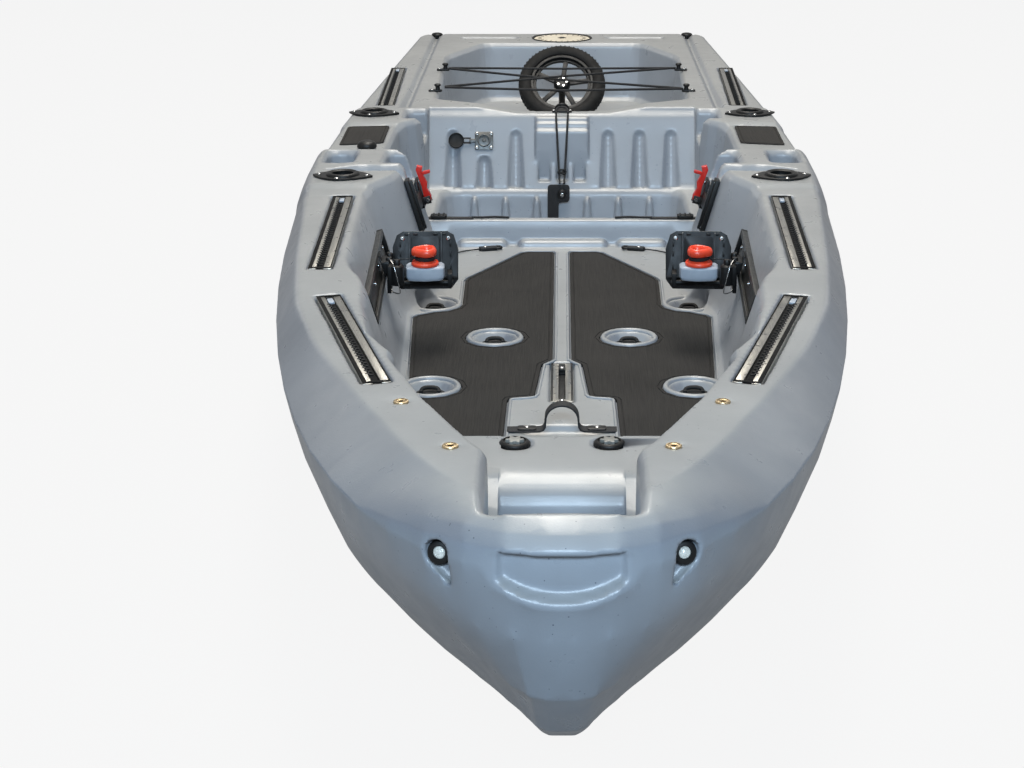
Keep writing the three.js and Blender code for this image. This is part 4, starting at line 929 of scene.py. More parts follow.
def fine_bow(points, across, along, up):
    """Draws the sides in behind the stem, so that they meet it at a clear angle."""
    heights = np.arange(0, 330, 8.0)
    stem = np.array([along[(np.abs(up - z) < 8) & (across < STEM_HALF)].min() for z in heights])
    share = np.clip((along - np.interp(up, heights, stem)) / BOW_REACH, 0, 1)
    most = read(BOW_HOLLOW, up)
    depth = most * HOLLOW_PEAK * share * (1 - share) ** 3 * smooth(across / 60)
    depth = np.minimum(depth, np.maximum(0, (across - STEM_HALF) * 0.7))
    outer = (up < 165) | (along < -1712) | (across > read(BOW_INNER, along))
    depth = np.where(outer & (along < -1300), depth, 0)
    points[:, 0] -= np.sign(points[:, 0]) * depth * MM


def deepen_grooves(points, decks, across, along, up):
    """Deepens the two slots and the long grooves of the stern deck."""
    slot = 1
    for place, (low, high) in ((across, SLOT_ACROSS), (along, SLOT_ALONG)):
        slot = slot * smooth((place - low) / SLOT_EDGE) * smooth((high - place) / SLOT_EDGE)
    groove = smooth(1 - np.abs(across - GROOVE_MIDDLE) / GROOVE_HALF) * (along > GROOVE_START)
    deeper = SLOT_DEPTH * slot + GROOVE_DEPTH * groove
    points[:, 2] -= np.where(up > decks - 14, deeper, 0) * MM


def shape_hull(mesh):
    """Moves the hull's points to the photographed forms that are finer than the solid's."""
    points = rows(mesh.vertices, "co")
    stations = np.arange(-1910, 1911, 5.0)
    heights = np.array([deck_height(y) for y in stations])
    across, along, up = np.abs(points[:, 0]) / MM, points[:, 1] / MM, points[:, 2] / MM
    decks = np.interp(along, stations, heights)
    flatten_flanks(points, decks, across, along, up)
    lower_shelf(points, decks, across, along, up)
    fine_bow(points, across, along, up)
    deepen_grooves(points, decks, across, along, up)
    mesh.vertices.foreach_set("co", points.ravel())


def bow_face(mesh):
    """A smooth function, from its own points, for where the bow's skin lies at the pocket."""
    skin = BVHTree.FromPolygons([v.co for v in mesh.vertices], [p.vertices for p in mesh.polygons])
    terms, places = [], []
    for x in range(0, 96, 5):
        for z in range(288, 404, 4):
            if x < 76 and 306 < z < 374:
                continue
            hit = skin.ray_cast(Vector((x * MM, -2.2, z * MM)), Vector((0, 1, 0)))[0]
            if hit:
                terms.append(face_terms(x, z))
                places.append(hit.y / MM)
    factors = np.linalg.lstsq(np.array(terms), np.array(places), rcond=None)[0]
    return lambda x, z: face_terms(x, z) @ factors


def face_terms(x, z):
    """The powers of x and z that the bow's skin is fitted with."""
    across, up = np.asarray(x) / 100, (np.asarray(z) - 345) / 60
    return np.stack([across ** (2 * i) * up ** j for i in range(4) for j in range(4)], axis=-1)


def pocket_plug(face):
    """A block that fills the solid's pocket flush with the skin."""
    rings = []
    for z in np.arange(302, 384.1, 4):
        front = [(x, float(face(x, z)) + 0.4, z) for x in range(-84, 85, 4)]
        rings.append(front + [(84, -1840, z), (-84, -1840, z)])
    return rings_to_shape(rings)


def carve_pocket(mesh, face):
    """The finger pocket: a straight top edge, square ends and a curved, slightly proud lip."""
    points = rows(mesh.vertices, "co")
    near = (points[:, 1] < -1.8) & (np.abs(points[:, 0]) < 0.1)
    near &= (points[:, 2] > 0.295) & (points[:, 2] < 0.398)
    x, z = np.abs(points[near, 0]) / MM, points[near, 2] / MM
    lip = POCKET["lip"] + POCKET["lip_rise"] * (x / POCKET["half"]) ** 2
    inside = smooth((POCKET["half"] + 3 - x) / 6) * smooth((POCKET["top"] + 1.5 - z) / 3)
    depth = POCKET["depth"] * inside * smooth((z - lip) / 9)
    beside = np.exp(-(np.maximum(0, x - POCKET["half"]) / 14) ** 2) * (x > POCKET["half"])
    depth += 4 * beside * smooth((z - 338) / 14) * smooth((384 - z) / 12)
    depth -= 3 * np.exp(-((z - lip + 3) / 8) ** 2) * smooth((92 - x) / 22)
    points[near, 1] += depth * MM
    mesh.vertices.foreach_set("co", points.ravel())


def even_normals(normals, edges, rounds=60, keep=math.radians(8)):
    """Evens the shading over shallow facets. Points beside a real edge keep their own normal."""
    close = np.einsum("ij,ij->i", normals[edges[:, 0]], normals[edges[:, 1]]) > math.cos(keep)
    firm = np.zeros(len(normals), bool)
    firm[edges[~close].ravel()] = True
    a, b = edges[close].T
    own = normals[firm]
    for _ in range(rounds):
        total = normals.copy()
        for axis in range(3):
            total[:, axis] += np.bincount(a, normals[b, axis], len(normals))
            total[:, axis] += np.bincount(b, normals[a, axis], len(normals))
        normals = total / np.maximum(np.linalg.norm(total, axis=1), 1e-9)[:, None]
        normals[firm] = own
    return normals


def hull_skin():
    """The CAD hull's skin with its edges softened, in three lengths that meet flush."""
    work = linked("hull_work", clean(frame["nodes"]["hull"].data.copy()))
    face = bow_face(work.data)
    plug = linked("plug", clean(mesh_of("plug", pocket_plug(face), []), outward=True))
    modify(work, "BOOLEAN", operation="UNION", object=plug)
    modify(work, "REMESH", mode="SHARP", octree_depth=10, scale=0.75, use_remove_disconnected=False)
    bake(work)
    bpy.data.objects.remove(plug)
    shape_hull(work.data)
    modify(work, "SMOOTH", factor=0.5, iterations=5)
    bake(work)
    carve_pocket(work.data, face)
    low, high = POCKET_LIP
    lip = work.vertex_groups.new(name="lip")
    lip.add([v.index for v in work.data.vertices
             if all(a < c / MM < b for a, c, b in zip(low, v.co, high))], 1.0, "REPLACE")
    modify(work, "SMOOTH", factor=0.5, iterations=2, vertex_group="lip")
    modify(work, "TRIANGULATE")
    modify(work, "DECIMATE", ratio=0.3)
    bake(work)
    mesh = work.data
    points = rows(mesh.vertices, "co")
    edges = rows(mesh.edges, "vertices", 2, np.int64)
    normals = even_normals(rows(mesh.vertex_normals, "vector"), edges)
    triangles = rows(mesh.polygons, "vertices", 3, np.int64)
    middle = points[triangles][:, :, 1].mean(axis=1)
    limits = (-9, *HULL_CUTS, 9)
    for number, name in enumerate(("hull_bow", "hull_middle", "hull_stern")):
        chosen = triangles[(middle >= limits[number]) & (middle < limits[number + 1])]
        used, index = np.unique(chosen, return_inverse=True)
        part = bpy.data.meshes.new(name)
        part.from_pydata(points[used].tolist(), [], index.reshape(-1, 3).tolist())
        part.materials.append(SKIN)
        part.polygons.foreach_set("use_smooth", [True] * len(part.polygons))
        part.normals_split_custom_set_from_vertices(normals[used].tolist())
        length = linked(name, part)
        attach(length, "boat")
        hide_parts("hull")
    bpy.data.objects.remove(work)


hull_skin()

# Mouldings on the floor


def top_loops(node):
    """The outlines of a flat piece's top, its material on the left, the longest first."""
    work = bmesh.new()
    work.from_mesh(clean(frame["nodes"][node].data.copy()))
    heights = [v.co.z / MM for v in work.verts]
    top = max(heights) - 1
    flat = [f for f in work.faces if f.normal.z > 0.99 and f.calc_center_median().z / MM > top]
    chosen = set(flat)
    onward = {}
    for face in flat:
        for loop in face.loops:
            if sum(f in chosen for f in loop.edge.link_faces) == 1:
                onward[loop.vert] = loop.link_loop_next.vert
    loops = []
    while onward:
        start, corner = next(iter(onward.items()))
        path = [start]
        del onward[start]
        while corner != start:
            path.append(corner)
            corner = onward.pop(corner)
        loops.append(straightened([(v.co.x / MM, v.co.y / MM) for v in path]))
    work.free()
    loops.sort(key=length_of, reverse=True)
    return loops, min(heights), max(heights)


def length_of(path):
    return sum((Vector(a) - Vector(b)).length for a, b in zip(path, path[1:]))


def straightened(path):
    """The closed path without the points that lie on a straight run."""
    kept = []
    for i, place in enumerate(path):
        before = Vector(place) - Vector(path[i - 1])
        after = Vector(path[(i + 1) % len(path)]) - Vector(place)
        if before.length > 0.05 and abs(before.cross(after)) > 0.003 * before.length * after.length:
            kept.append(place)
    return kept


def offset(outline, distance):
    """The outline moved outwards by the distance, which may be negative."""
    points = [Vector(p) for p in outline]
    path = []
    for i, corner in enumerate(points):
        before = (corner - points[i - 1]).normalized()
        after = (points[(i + 1) % len(points)] - corner).normalized()
        out = Vector((before.y + after.y, -before.x - after.x)).normalized()
        miter = max(0.5, out.x * before.y - out.y * before.x)
        path.append(tuple(corner + out * distance / miter))
    return path


def floor_mouldings():
    """Half-round rims round the pads and drains, and the raised strips behind the aft drains."""
    rims = []
    for side, _ in SIDES:
        edge = offset(top_loops(f"floor_pad_{side}")[0][0], 5.5)
        path = [(x, y, FLOOR + 0.2) for x, y in edge]
        rims.append(path + path[:2])
    cord_piece("pad_rims", rims, 5.6, SKIN, 8)
    ring = lathe([(43, -4), (53, -4), (53.5, 1), (51, 4.2), (46, 4.6), (43, 1.5), (43, -4)], 40)
    rings = [ring.moved(sign * x, y, FLOOR) for _, x, y in SCUPPERS for sign in (1, -1)]
    piece("drain_rings", joined(rings), SKIN, angle=70)
    strip = rounded([(262, 224), (238, 224), (240, -122), (263, -122)], 6)
    both("floor_strip_{}", prism(strip, FLOOR - 2, FLOOR + 3.4), SKIN, bevel=2.4, steps=3)


floor_mouldings()

# Foam pads


def foam_pad(node, groove):
    """A pad with a groove cut along its edge and round the drain in it."""
    loops, low, high = top_loops(node)
    levels = ((0, low), (0, high - 0.8), (0.8, high), (groove, high), (groove + 0.7, high - 1.5),
              (groove + 2.0, high - 1.5), (groove + 2.7, high))
    pad = Shape()
    ends = {0: [], len(levels) - 1: []}
    for loop in loops:
        count = len(loop)
        start = len(pad.points)
        for number, (inset, height) in enumerate(levels):
            ring = [(x, y, height) for x, y in offset(loop, -inset)]
            if number in ends:
                ends[number].append((len(pad.points), ring))
            pad.points.extend(Vector(p) for p in ring)
        for row in range(len(levels) - 1):
            for i in range(count):
                a, b = start + row * count + i, start + row * count + (i + 1) % count
                pad.faces.append((a, b, b + count, a + count))
    for rings in ends.values():
        numbers = [first + i for first, ring in rings for i in range(len(ring))]
        for face in tessellate_polygon([[Vector(p) for p in ring] for _, ring in rings]):
            pad.faces.append(tuple(numbers[i] for i in face))
    pad.finishes = [0] * len(pad.faces)
    piece(node + "_foam", pad, FOAM, replaces=[node], angle=40)


for side, _ in SIDES:
    foam_pad(f"floor_pad_{side}", 5.6)
    foam_pad(f"deck_pad_{side}", 4.6)

# Screws, as places to fill at the end

SCREW = lathe([(0, -1.5), (3.4, -1.5), (4.4, 0), (4.2, 1.1), (2.6, 2.1), (1.9, 2.1), (1.7, 0.9),
               (0, 0.8)], 12)
screws = {}


def screw(matrix, body="boat"):
    screws.setdefault(body, []).append(matrix)


def screw_pair(matrix, body="boat"):
    """A screw on the right-hand side and its mate on the left."""
    screw(matrix, body.format("right"))
    screw(MIRROR @ matrix @ MIRROR, body.format("left"))


# Gear tracks: two brushed bars with a toothed black strip between them, and black bands beside them
# that are painted shadow in the gaps beside the bars

TOOTH = block(-8.4, -2.6, -3.6, -3.4, 2.6, -0.2) + block(-3.3, -1.2, -3.8, 2.2, 1.2, -2.2)
TOOTH_STEP = 13.5


def gear_track(name, matrix, length, side):
    from_node(f"gear_track_{name}", ALLOY, 0.45)
    place = side @ matrix
    bed = block(-5.9, 1, -9, 5.9, length - 1, -3.9)
    # The bands are black sheets in the gaps beside the bars, standing in for the shade there:
    # painted shadow.
    bands = joined(block(low, 1, -1.2, high, length - 1, 0.1)
                   for low, high in ((-18.6, -12.4), (16.6, 18.6)))
    ends = joined(block(-12.3, y, -1.2, 16.5, y + 7, 0.3) for y in (1, length - 8))
    piece(f"track_strip_{name}", (bed + bands + ends).at(place), TRACK_BLACK_AND_SHADOW, bevel=0.3)
    clamp_block = block(-4.4, 16, -3.9, 4.4, 40, -0.9)
    piece(f"track_clamp_{name}", clamp_block.at(place), LEDGE_BLUE, bevel=0.6)
    teeth = grown(f"track_teeth_{name}", ROW, BLACK, pattern=TOOTH,
                  Count=int((length - 66) / TOOTH_STEP), Step=(0, TOOTH_STEP * MM, 0))
    placed_mesh(teeth, place @ spot(0, 50, 0))
    finished(teeth.name, teeth)


for name, start, end in TRACKS:
    track, length = track_frame(start, end)
    for side, mirror in SIDES:
        gear_track(f"{name}_{side}", track, length, mirror)


def floor_track():
    """The short track on the floor, with a clamp block at its rear end."""
    from_node("gear_track_floor", ALLOY, 0.45)
    base = spot(0, -750, FLOOR)
    body = block(-12.4, 158, -8.8, 12.4, 192, -4) + block(-5.6, 160, -4, 5.6, 190, 2.5)
    body = body + block(-5.6, 12, -9, 5.6, 156, -7)
    body = body + joined(block(x, 2, -0.9, x + 3.6, 203, 0.2) for x in (-19, 15.4))
    piece("track_clamp", body.at(base), BLACK, bevel=0.6)
    screw(base @ spot(0, 168, 2.6))
    screw(base @ spot(0, 6, -0.6))


floor_track()

# Flush rod holders


def rod_holder(name, x, y):
    place = spot(x, y, deck_height(y) + 0.3)
    both_nodes(f"rod_holder_{name}_{{}}", BLACK, 1.0, steps=3)
    ring = lathe([(21.4, 2), (32, 2), (32.6, 4.5), (31, 8.2), (28, 9.6), (24.5, 9.4), (21.2, 7),
                  (21.4, 2)], 56)
    both(f"rod_ring_{name}_{{}}", ring.at(place), BLACK, angle=50)
    for dx, dy in ((-47, -6), (47, 6), (8, -35), (-6, 36)):
        screw_pair(place @ spot(dx, dy, 4.2))


for holder in ROD_HOLDERS:
    rod_holder(*holder)

# Drain plugs with their pull handles


def drain_plugs():
    body = lathe([(0, -34), (15.5, -34), (17, -32), (18.4, -25), (17.2, -23), (19.2, -20),
                  (19.3, -13), (18.2, -11), (19.3, -9), (19.3, -0.3), (26.4, 0.3), (27, 2),
                  (26, 4.8), (20, 6.2), (19, 5.4), (12, 5.4), (11, 6.9), (0, 7)], 48)
    bow = [(-15, 0, 4), (-15.4, 2, 8), (-13, 5, 11.5), (-8, 7, 13), (0, 7.6, 13.4), (8, 7, 13),
           (13, 5, 11.5), (15.4, 2, 8), (15, 0, 4)]
    arc = smooth_path(bow, 4)
    feet = joined(block(-3, -3.5, -1, 3, 3.5, 5).moved(x, 0, 6) for x in (-15, 15))
    for name, x, y in SCUPPERS:
        for side, sign in (("right", 1), ("left", -1)):
            where = f"scupper_plug_{name}_{side}"
            seat = spot(sign * x, y, FLOOR - 16 + 0.3)
            piece(where + "_body", (body + feet).at(seat), RUBBER, body=where, replaces=[where],
                  angle=50)
            cord_piece(where + "_handle", [placed(seat, arc)], 7.4, RUBBER, 14, body=where)


drain_plugs()

# Bow lights, deck inserts and the twist plugs on the bench


def bow_lights():
    bezel = lathe([(6.8, 0.5), (13.6, 0.5), (14, 4.5), (13.2, 7.6), (11.4, 9), (7.6, 9.4), (6.8, 8),
                   (6.8, 0.5)], 48)
    glass = lathe([(0, 0.5), (6.6, 0.5), (6.7, 7), (5.4, 8), (4.9, 7.5), (3.8, 8.2), (3.3, 7.7),
                   (2, 8.5), (0, 8.8)], 48)
    both("bow_light_bezel_{}", bezel.at(BOW_LIGHT), BLACK, angle=50)
    both("bow_light_lens_{}", glass.at(BOW_LIGHT), LENS, replaces=["bow_light_{}"], angle=50)


def deck_inserts():
    sleeve = lathe([(4.6, -14), (7, -14), (7, -2), (9.6, -2), (9.8, 0), (9.1, 1.1), (7.2, 1.3),
                    (6.4, 0.4), (4.6, 0.2), (4.6, -14)], 42)
    hexagon = lathe([(3.8, -9), (4.7, -9), (4.7, 0.1), (3.8, 0.1), (3.8, -9)], 6)
    for name, x, y in INSERTS:
        seat = spot(x, y, deck_height(y))
        both(f"insert_{name}_{{}}", (sleeve + hexagon).at(seat), BRASS,
             replaces=[f"deck_insert_{name}_{{}}"], angle=40)


def twist_plugs():
    shell = lathe([(0, -12), (14.6, -12), (15, -11), (15, 0), (21, 0), (21.5, 1), (21.5, 5.6),
                   (20.6, 7), (17.6, 8.9), (16.4, 8.4), (16, 6), (0, 6)], 56)
    star = []
    for i in range(48):
        angle = i / 48 * math.tau
        radius = 10.4 + 2.9 * math.cos(6 * angle)
        star.append(polar(radius, angle))
    seat = spot(66, -1229, 245.3)
    # The knob is grey all over: a painted highlight on the black plug.
    knob = prism(star, 4, 10.6).finish(1)
    both("twist_plug_{}", (shell + knob).at(seat), BLACK, HIGHLIGHT_GREY, body="bow_plug_{}",
         replaces=["bow_plug_{}"], bevel=0.5, angle=50)
    nub = block(-1.2, -1.3, 0.8, 0.7, 1.3, 5.4)
    for side, matrix in SIDES:
        grip = grown(f"twist_plug_grip_{side}", RING, BLACK, pattern=nub, Count=24, Radius=0.0213)
        placed_mesh(grip, matrix @ seat)
        finished(grip.name, grip, f"bow_plug_{side}")


bow_lights()
deck_inserts()
twist_plugs()

# Foot braces


def foot_braces():
    both_nodes("foot_rail_{}", DARK_ALLOY, 0.4)
    both_nodes("brace_carriage_{}", BLACK, 1.0)
    # The pedal's up-facing top faces are grey: a painted highlight on the black pedal.
    both_nodes("foot_pedal_{}", BLACK, 0.7, paint=(HIGHLIGHT_GREY, lambda c, n: n.z > 0.9 and c.z > 330))
    both_nodes("spool_bracket_{}", LEDGE_BLUE, 1.6, steps=3)
    rail = lean_frame(BRACE, -500)
    ends = joined(block(-11.6, y - 5, -26.6, 0.2, y + 5, 26.6) for y in (-221, 221))
    both("rail_end_{}", ends.at(rail), BLACK, bevel=1.2)
    for y in (-190, -60, 60, 190):
        screw_pair(rail @ spot(-4.4, y, 0) @ turned(-90, "Y"))
    # Line guides and pins on the carriage
    guide = lathe([(0, -3), (5.6, -3), (6, 0), (6, 7), (4.8, 9), (0, 9.6)], 24)
    pins = guide.moved(-39.5, 22, 13.2) + guide.moved(-24, 50, 10.4) + guide.moved(-24, 80, 10.4)
    both("carriage_pins_{}", pins.at(BRACE), BLACK, body="brace_{}", angle=50)
    wire = [(-24, 42, -34), (-30, 30, -40), (-42, 18, -40), (-44, 8, -30), (-40, 4, -10),
            (-34, 10, 14), (-26, 26, 22), (-24, 40, 12)]
    both_cords("wire_bail_{}", smooth_path(placed(BRACE, wire), 6), 2.0, STEEL, 10, "brace_{}")
    # The tray's moulded back, its buttons and its screws
    tray = BRACE @ spot(PEDAL_X, SHAFT_Y + 38, SHAFT_Z + 22) @ turned(90 - 10, "X")
    back = plate(26, 44, 5, 3.4, 5.2)
    studs = joined(block(x - 4, 46.5, 3, x + 4, 49.5, 9) for x in (-34, -18, 18, 34))
    nibs = joined(block(x - 1.4, y - 5, 3, x + 1.4, y + 5, 8)
                  for x in (-46, 46) for y in (-12, 12, 30))
    both("tray_back_{}", (back + studs + nibs).at(tray), BLACK, body="pedal_{}", bevel=0.5)
    for x, y in ((-42, 40), (42, 40), (-46, -44), (46, -44)):
        screw_pair(tray @ spot(x, y, 3.8), "pedal_{}")


def line_spools():
    """Orange spools with six shallow grips, and the line wound on them."""
    seat = LEDGE @ spot(0, -24, -2 + 0.3)
    low = lathe([(7, 0), (24, 0), (24.9, 1.5), (24.9, 4.5), (23.6, 6.6), (16.5, 8.2), (15, 9.6),
                 (15, 15.4), (16.5, 17), (7, 17), (7, 0)], 60)
    high = lathe([(7, 16.8), (22.4, 18.4), (24.4, 20.4), (24.6, 25.5), (23.2, 29.6), (20.6, 32.3),
                  (18, 32.8), (15.6, 31), (13.6, 26), (12.4, 20.6), (7, 20), (7, 16.8)], 60, 3, 3.2)
    both("spool_{}", (low + high).at(seat), ORANGE, body="spool_{}", replaces=["line_spool_{}"],
         angle=50)
    helix = [(16.6 * math.cos(a), 16.6 * math.sin(a), 9.4 + 6.4 * i / 120)
             for i, a in enumerate(i * math.tau / 40 for i in range(121))]
    both_cords("spool_line_{}", placed(seat, helix), 2.6, BRAID, 8, "spool_{}")
    lead = [(17, -3, 12), (32, -4, 12.4), (47, -2, 11), (58, 6, 8)]
    both_cords("spool_lead_{}", smooth_path(placed(seat, lead), 6), 2.2, BRAID, 8, "pedal_{}")


foot_braces()
line_spools()

# Seat latches


def seat_latches():
    both_nodes("latch_base_{}", BLACK, 1.0)
    both_nodes("latch_lever_{}", RED, 1.4, steps=3)
    pin = lathe([(0, -17), (3.6, -17), (4, -16.4), (4, 16.4), (3.6, 17), (0, 17)], 24)
    place = LATCH @ spot(-16, 66, -26) @ turned(90, "X")
    both("latch_pin_{}", pin.at(place), STEEL, angle=50)
    for y, z in ((-76, -50), (-76, 44), (72, -30), (72, 12)):
        depth = -9 if y < 0 else -7
        screw_pair(LATCH @ spot(depth - 0.2, y, z) @ turned(-90, "Y"))


seat_latches()

# Power socket and its cap


def socket_and_cap():
    flange = plate(22, 22, 5, 0.3, 3.5)
    barrel = lathe([(0, -18), (13, -18), (13, 1), (15, 3), (15.2, 8), (14.4, 9), (12.6, 9), (12, 8),
                    (12, 2.2), (4.4, 2.2), (4, 2.8), (4, 6.4), (3, 7.2), (0, 7.2)], 48)
    tongue = block(-35, -3.7, 0.3, -20, 3.7, 8.4)
    piece("socket_plate", (flange + barrel + tongue).at(BULKHEAD_SOCKET), DARK_ALLOY,
          slot="alloy_socket", replaces=["power_socket"], bevel=0.6)
    for x in (-17, 17):
        for y in (-17, 17):
            screw(BULKHEAD_SOCKET @ spot(x, y, 3.7))
    cup = lathe([(0, 2), (15.4, 2), (17.6, 3), (18.5, 4.6), (18.5, 9), (17.8, 9.5), (16.6, 9.5),
                 (16, 9), (16, 4.8), (0, 4.5)], 48).moved(-66)
    arms = joined(block(-49, y, 5.4, -31, y + 3, 8.4) for y in (-7, 4))
    piece("socket_cap_cup", (cup + arms).at(BULKHEAD_SOCKET), RUBBER, body="socket_cap",
          replaces=["socket_cap"], bevel=0.5, angle=40)


socket_and_cap()

# Straps, padeye and cords that are held at both ends


def pull_strap():
    turns = [math.pi * (1 - i / 24) for i in range(25)]
    arch = [(26 * math.cos(a), 20 + 24 * math.sin(a)) for a in turns]
    line = [(-88, 0), (-60, 0.2), (-36, 0.8), (-30, 3), (-27, 8), *arch, (27, 8), (30, 3),
            (36, 0.8), (60, 0.2), (88, 0)]
    place = spot(0, -891, FLOOR + 2)
    piece("pull_loop", ribbon(line, 3, 24).at(place), WEBBING, replaces=["pull_strap"], bevel=0.6)
    plates = joined(plate(15, 9, 4, 1.4, 4.4).moved(x) for x in (-56, 56))
    piece("pull_plates", plates.at(place), BLACK, bevel=0.8)
    for x in (-56, 56):
        screw(place @ spot(x, 0, 4.6))


def rim_straps():
    """Webbing laid on the seat rim, with its buckle and the clip at its end."""
    y = 302
    band = block(196, y - 9, SEAT_RIM + 0.3, 306, y + 9, SEAT_RIM + 2.6)
    both("rim_band_{}", band, WEBBING, replaces=["rim_strap_{}"], bevel=0.5)
    buckle = plate(18, 11, 5, SEAT_RIM + 1, SEAT_RIM + 9).moved(274, y)
    bars = joined(block(x - 2, y - 9, SEAT_RIM + 8, x + 2, y + 9, SEAT_RIM + 11.6)
                  for x in (263, 274, 285))
    both("rim_buckle_{}", buckle + bars, BLACK, bevel=1.2)
    tail = [(200, y - 2, SEAT_RIM + 3.5), (176, y - 5, SEAT_RIM + 4), (150, y + 2, SEAT_RIM + 3.5),
            (118, y - 3, SEAT_RIM + 3.2)]
    both_cords("rim_tail_{}", smooth_path(tail, 6), 5, BRAID, 10)


def tie_down():
    """The padeye behind the seat, its cord and the webbing strap that the cord ends in."""
    base = plate(24, 9, 8, 0, 4)
    piece("padeye_base", base.moved(*PADEYE), BLACK, bevel=1.0, replaces=["tie_padeye"])
    arch = [(-15, 0, 2), (-14, -4, 11), (-8, -8, 18), (0, -10, 20), (8, -8, 18), (14, -4, 11),
            (15, 0, 2)]
    cord_piece("padeye_arch", [smooth_path(placed(spot(*PADEYE), arch), 6)], 6.8, BLACK, 14)
    for x in (-19.5, 19.5):
        screw(spot(x, PADEYE[1], PADEYE[2] + 4.1))
    route = [(-5, 563, 218), (-7, 592, 240), (-12, 622, 330), (-14, 650, 368), (-11, 664, 378),
             (0, 669, 380), (11, 664, 378), (14, 650, 368), (12, 622, 330), (7, 592, 240),
             (5, 563, 218)]
    cord_piece("tie_line", [smooth_path(route, 8)], 5, BRAID, 14, replaces=["tie_cord"])
    knot = [(-9, 592, 240), (-2, 585, 246), (8, 592, 243), (3, 600, 238), (-8, 596, 236),
            (-7, 586, 240), (6, 586, 236), (9, 594, 240)]
    cord_piece("tie_knot", [smooth_path(knot, 5)], 5, BRAID, 10)
    outline = rounded([(-34, -66), (-8, -66), (-8, -20), (18, -20), (18, 22), (-34, 22)], 9)
    upright = spot(0, 572, 192) @ turned(90, "X")
    piece("tie_web", prism(outline, 0, 5).at(upright), WEBBING, replaces=["tie_strap"], bevel=1.2)
    boss = lathe([(0, 0), (11, 0), (11, 5.2), (10.4, 7), (8, 8.6), (7, 9), (6, 8.4), (0, 8.4)], 40)
    piece("tie_boss", boss.at(spot(0, 568, 192) @ turned(90, "X")), BLACK, angle=50)
    screw(spot(0, 559.4, 192) @ turned(90, "X"))


BUNGEE = ((-294, 897, 389), (0, 895, 381), (292, 897, 385), (302, 903, 384), (296, 911, 384),
          (0, 1064, 380), (-292, 1210, 385), (-302, 1218, 385), (-294, 1225, 385), (0, 1226, 383),
          (294, 1225, 385), (302, 1218, 386), (292, 1209, 387), (0, 1064, 389), (-294, 911, 388))


def bungee():
    """The laced bungee, its hooks and the lower strand along the front of the tank well."""
    path = []
    for a, b in zip(BUNGEE, BUNGEE[1:]):
        steps = 3 if (Vector(a) - Vector(b)).length < 30 else 12
        path.extend(Vector(a).lerp(Vector(b), k / steps) for k in range(steps))
    path.append(Vector(BUNGEE[-1]))
    cord_piece("bungee", [path], 6, BRAID, 12, replaces=["bungee_cord"])
    base = plate(17, 9, 7, 0, 5)
    horn = lathe([(0, 0), (6, 0), (6, 8), (5, 12), (8, 15), (8.4, 18), (6, 20), (0, 20.6)], 28)
    for name, y in (("rear", 1218), ("front", 903)):
        place = spot(318, y, deck_height(y) - 0.3)
        both(f"bungee_hook_{name}_{{}}", (base + horn.moved(-6)).at(place), BLACK, bevel=1.0,
             angle=40)
        screw_pair(place @ spot(9, 0, 5))


pull_strap()
rim_straps()
tie_down()
bungee()

# The spare cart wheel in the tank well


def cart_wheel():
    tyre = lathe([(86, -17), (88, -19.5), (98, -22), (106, -20.6), (111.5, -17), (115.5, -12),
                  (118, -6), (119, 0), (118, 6), (115.5, 12), (111.5, 17), (106, 20.6), (98, 22),
                  (88, 19.5), (86, 17), (86, -17)], 120)
    piece("tyre", tyre.at(WHEEL), TYRE, replaces=["wheel_tyre"], angle=50)
    lug = block(-6, -1.9, -11.5, 1.2, 1.9, -1.5) + block(-6, 1.9, 1.5, 1.2, 5.7, 11.5)
    tread = grown("tyre_tread", RING, TYRE, pattern=lug, Count=60, Radius=0.1166)
    finished("tyre_tread", placed_mesh(tread, WHEEL))
    barrel = lathe([(77.7, -15), (85.7, -15), (85.9, -12), (83, -9), (83, 9), (85.9, 12),
                    (85.7, 15), (77.7, 15), (77.2, 0), (77.7, -15)], 96)
    face = lathe([(70.5, -2), (78, -2), (78, 6), (71.5, 6), (70.5, 4.5), (70.5, -2)], 96)
    hub = lathe([(0, -20), (14, -20), (22, -8), (22.6, -2), (22, 8), (19, 13), (16, 16), (9, 16.6),
                 (8, 15), (0, 15)], 48)
    axle = lathe([(0, -156), (8, -156), (9, -155), (9, -15), (0, -15)], 32)
    rim = barrel + face + hub + axle
    for spoke in range(5):
        corners = []
        for radius, share in ((20, 1.38), (71.5, 1.2), (71.5, 1.06), (20, 0.88)):
            angle = (spoke + share) / 5 * math.tau
            corners.append(polar(radius, angle))
        rim = rim + prism(corners[::-1], -2, 6)
    piece("wheel", rim.at(WHEEL), BLACK, replaces=["wheel_rim"], bevel=0.8)
    bolt = lathe([(0, 0), (4, 0), (4, 3.4), (3.4, 4), (0, 4)], 6)
    bolts = grown("hub_bolts", RING, STEEL, pattern=bolt, Count=5, Radius=0.0125)
    finished("hub_bolts", placed_mesh(bolts, WHEEL @ spot(0, 0, 14.6)))


cart_wheel()

# Stern plate and knobs


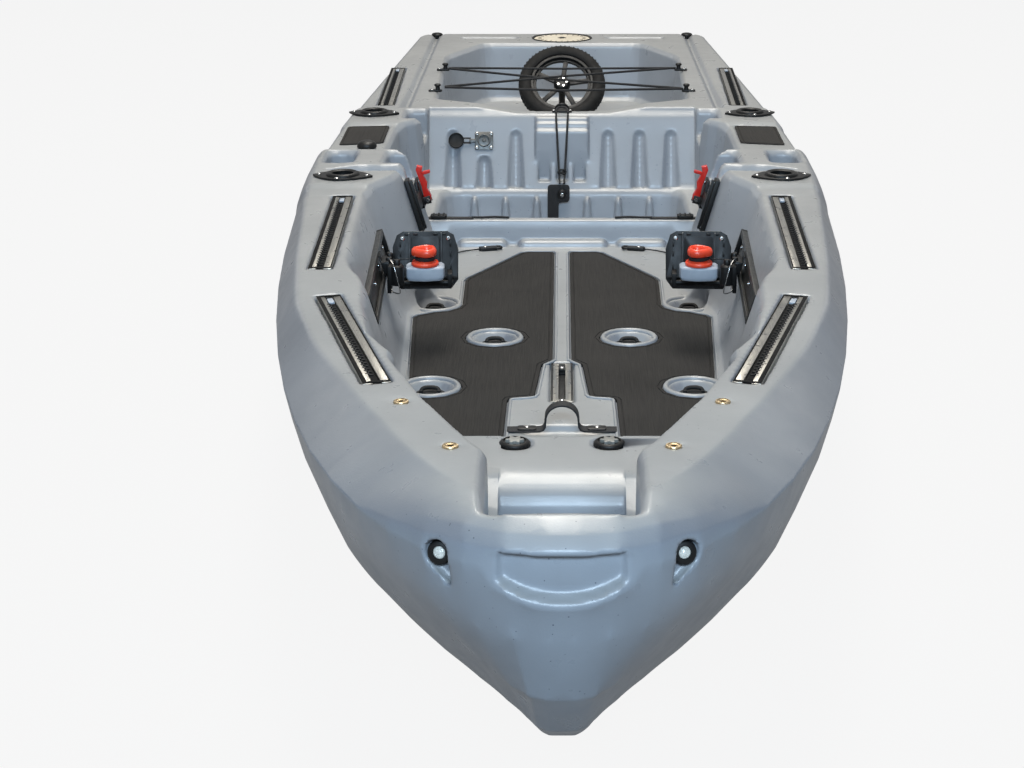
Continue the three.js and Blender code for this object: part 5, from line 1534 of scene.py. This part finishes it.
def stern_fittings():
    disc = lathe([(0, 0), (83.4, 0), (84, 0.8), (84, 4), (81, 6), (78, 6.2), (77, 5.6), (75.6, 5.6),
                  (74.6, 6.3), (0, 6.6)], 96)
    piece("plate_disc", disc.at(STERN_PLATE), CREAM, replaces=["stern_plate"])
    tick = block(-4.5, -1.1, 0, 4.5, 1.1, 1.0)
    ticks = grown("plate_ticks", RING, BLACK, pattern=tick, Count=24, Radius=0.067)
    finished("plate_ticks", placed_mesh(ticks, STERN_PLATE @ spot(0, 0, 6.1)))
    centre = lathe([(0, 0), (9, 0), (9.4, 1.4), (8, 2.6), (0, 2.8)], 32)
    bar = block(-13, -1.8, 0, 13, 1.8, 1.6)
    piece("plate_hub", (centre + bar).at(STERN_PLATE @ spot(0, 0, 6.2)), BLACK, bevel=0.4)
    surround = lathe([(84.6, -0.4), (87.7, -0.4), (89.6, 7.6), (88.6, 8.8), (86.4, 8.6), (84.6, 6),
                      (84.6, -0.4)], 96)
    piece("plate_surround", surround.at(STERN_PLATE), BLACK)
    knob = lathe([(0, -10), (6, -10), (6, 0), (13.4, 0), (16.6, 2), (17, 4), (16.4, 7), (14, 9.4),
                  (9, 10.8), (7.4, 10.6), (6.6, 9.4), (0, 9.2)], 56)
    seat = spot(377.5, 1872, deck_height(1872) - 6.7)
    both("stern_knob_cap_{}", knob.at(seat), BLACK, replaces=["stern_knob_{}"], angle=40)
    dome = lathe([(0, -10), (6, -10), (6, 0), (17, 0), (20.6, 3), (21, 6), (20, 10.4), (16.6, 14),
                  (10.5, 16.4), (4, 17), (0, 17.1)], 64)
    post = spot(-416, 194, deck_height(194) + 0.3)
    piece("deck_knob_cap", dome.at(post), BLACK, replaces=["deck_knob"], angle=40)


stern_fittings()

# Clips and cords in the rear corners of the floor


def corner_clips():
    shell = plate(20, 9, 6, 0, 8)
    loop = lathe([(6, 0), (10, 0), (11, 3), (10, 6), (6, 6), (5.4, 3), (6, 0)], 28).moved(-22, 0, 2)
    place = spot(163, 240, FLOOR - 0.2) @ turned(-14, "Z")
    both("floor_clip_{}", (shell + loop).at(place), BLACK, bevel=1.4, angle=40)
    screw_pair(place @ spot(6, 0, 8.2))
    run = [(182, 234, FLOOR + 4), (214, 220, FLOOR + 3), (236, 196, FLOOR + 3),
           (243, 150, FLOOR + 4.6), (247, 60, FLOOR + 5.4), (249, -60, FLOOR + 5.4),
           (250, -118, FLOOR + 5.6)]
    both_cords("floor_line_{}", smooth_path(run, 8), 3, BRAID, 8)


corner_clips()

for body, places in screws.items():
    copies(f"screws_{body}", SCREW, places, STEEL, body)
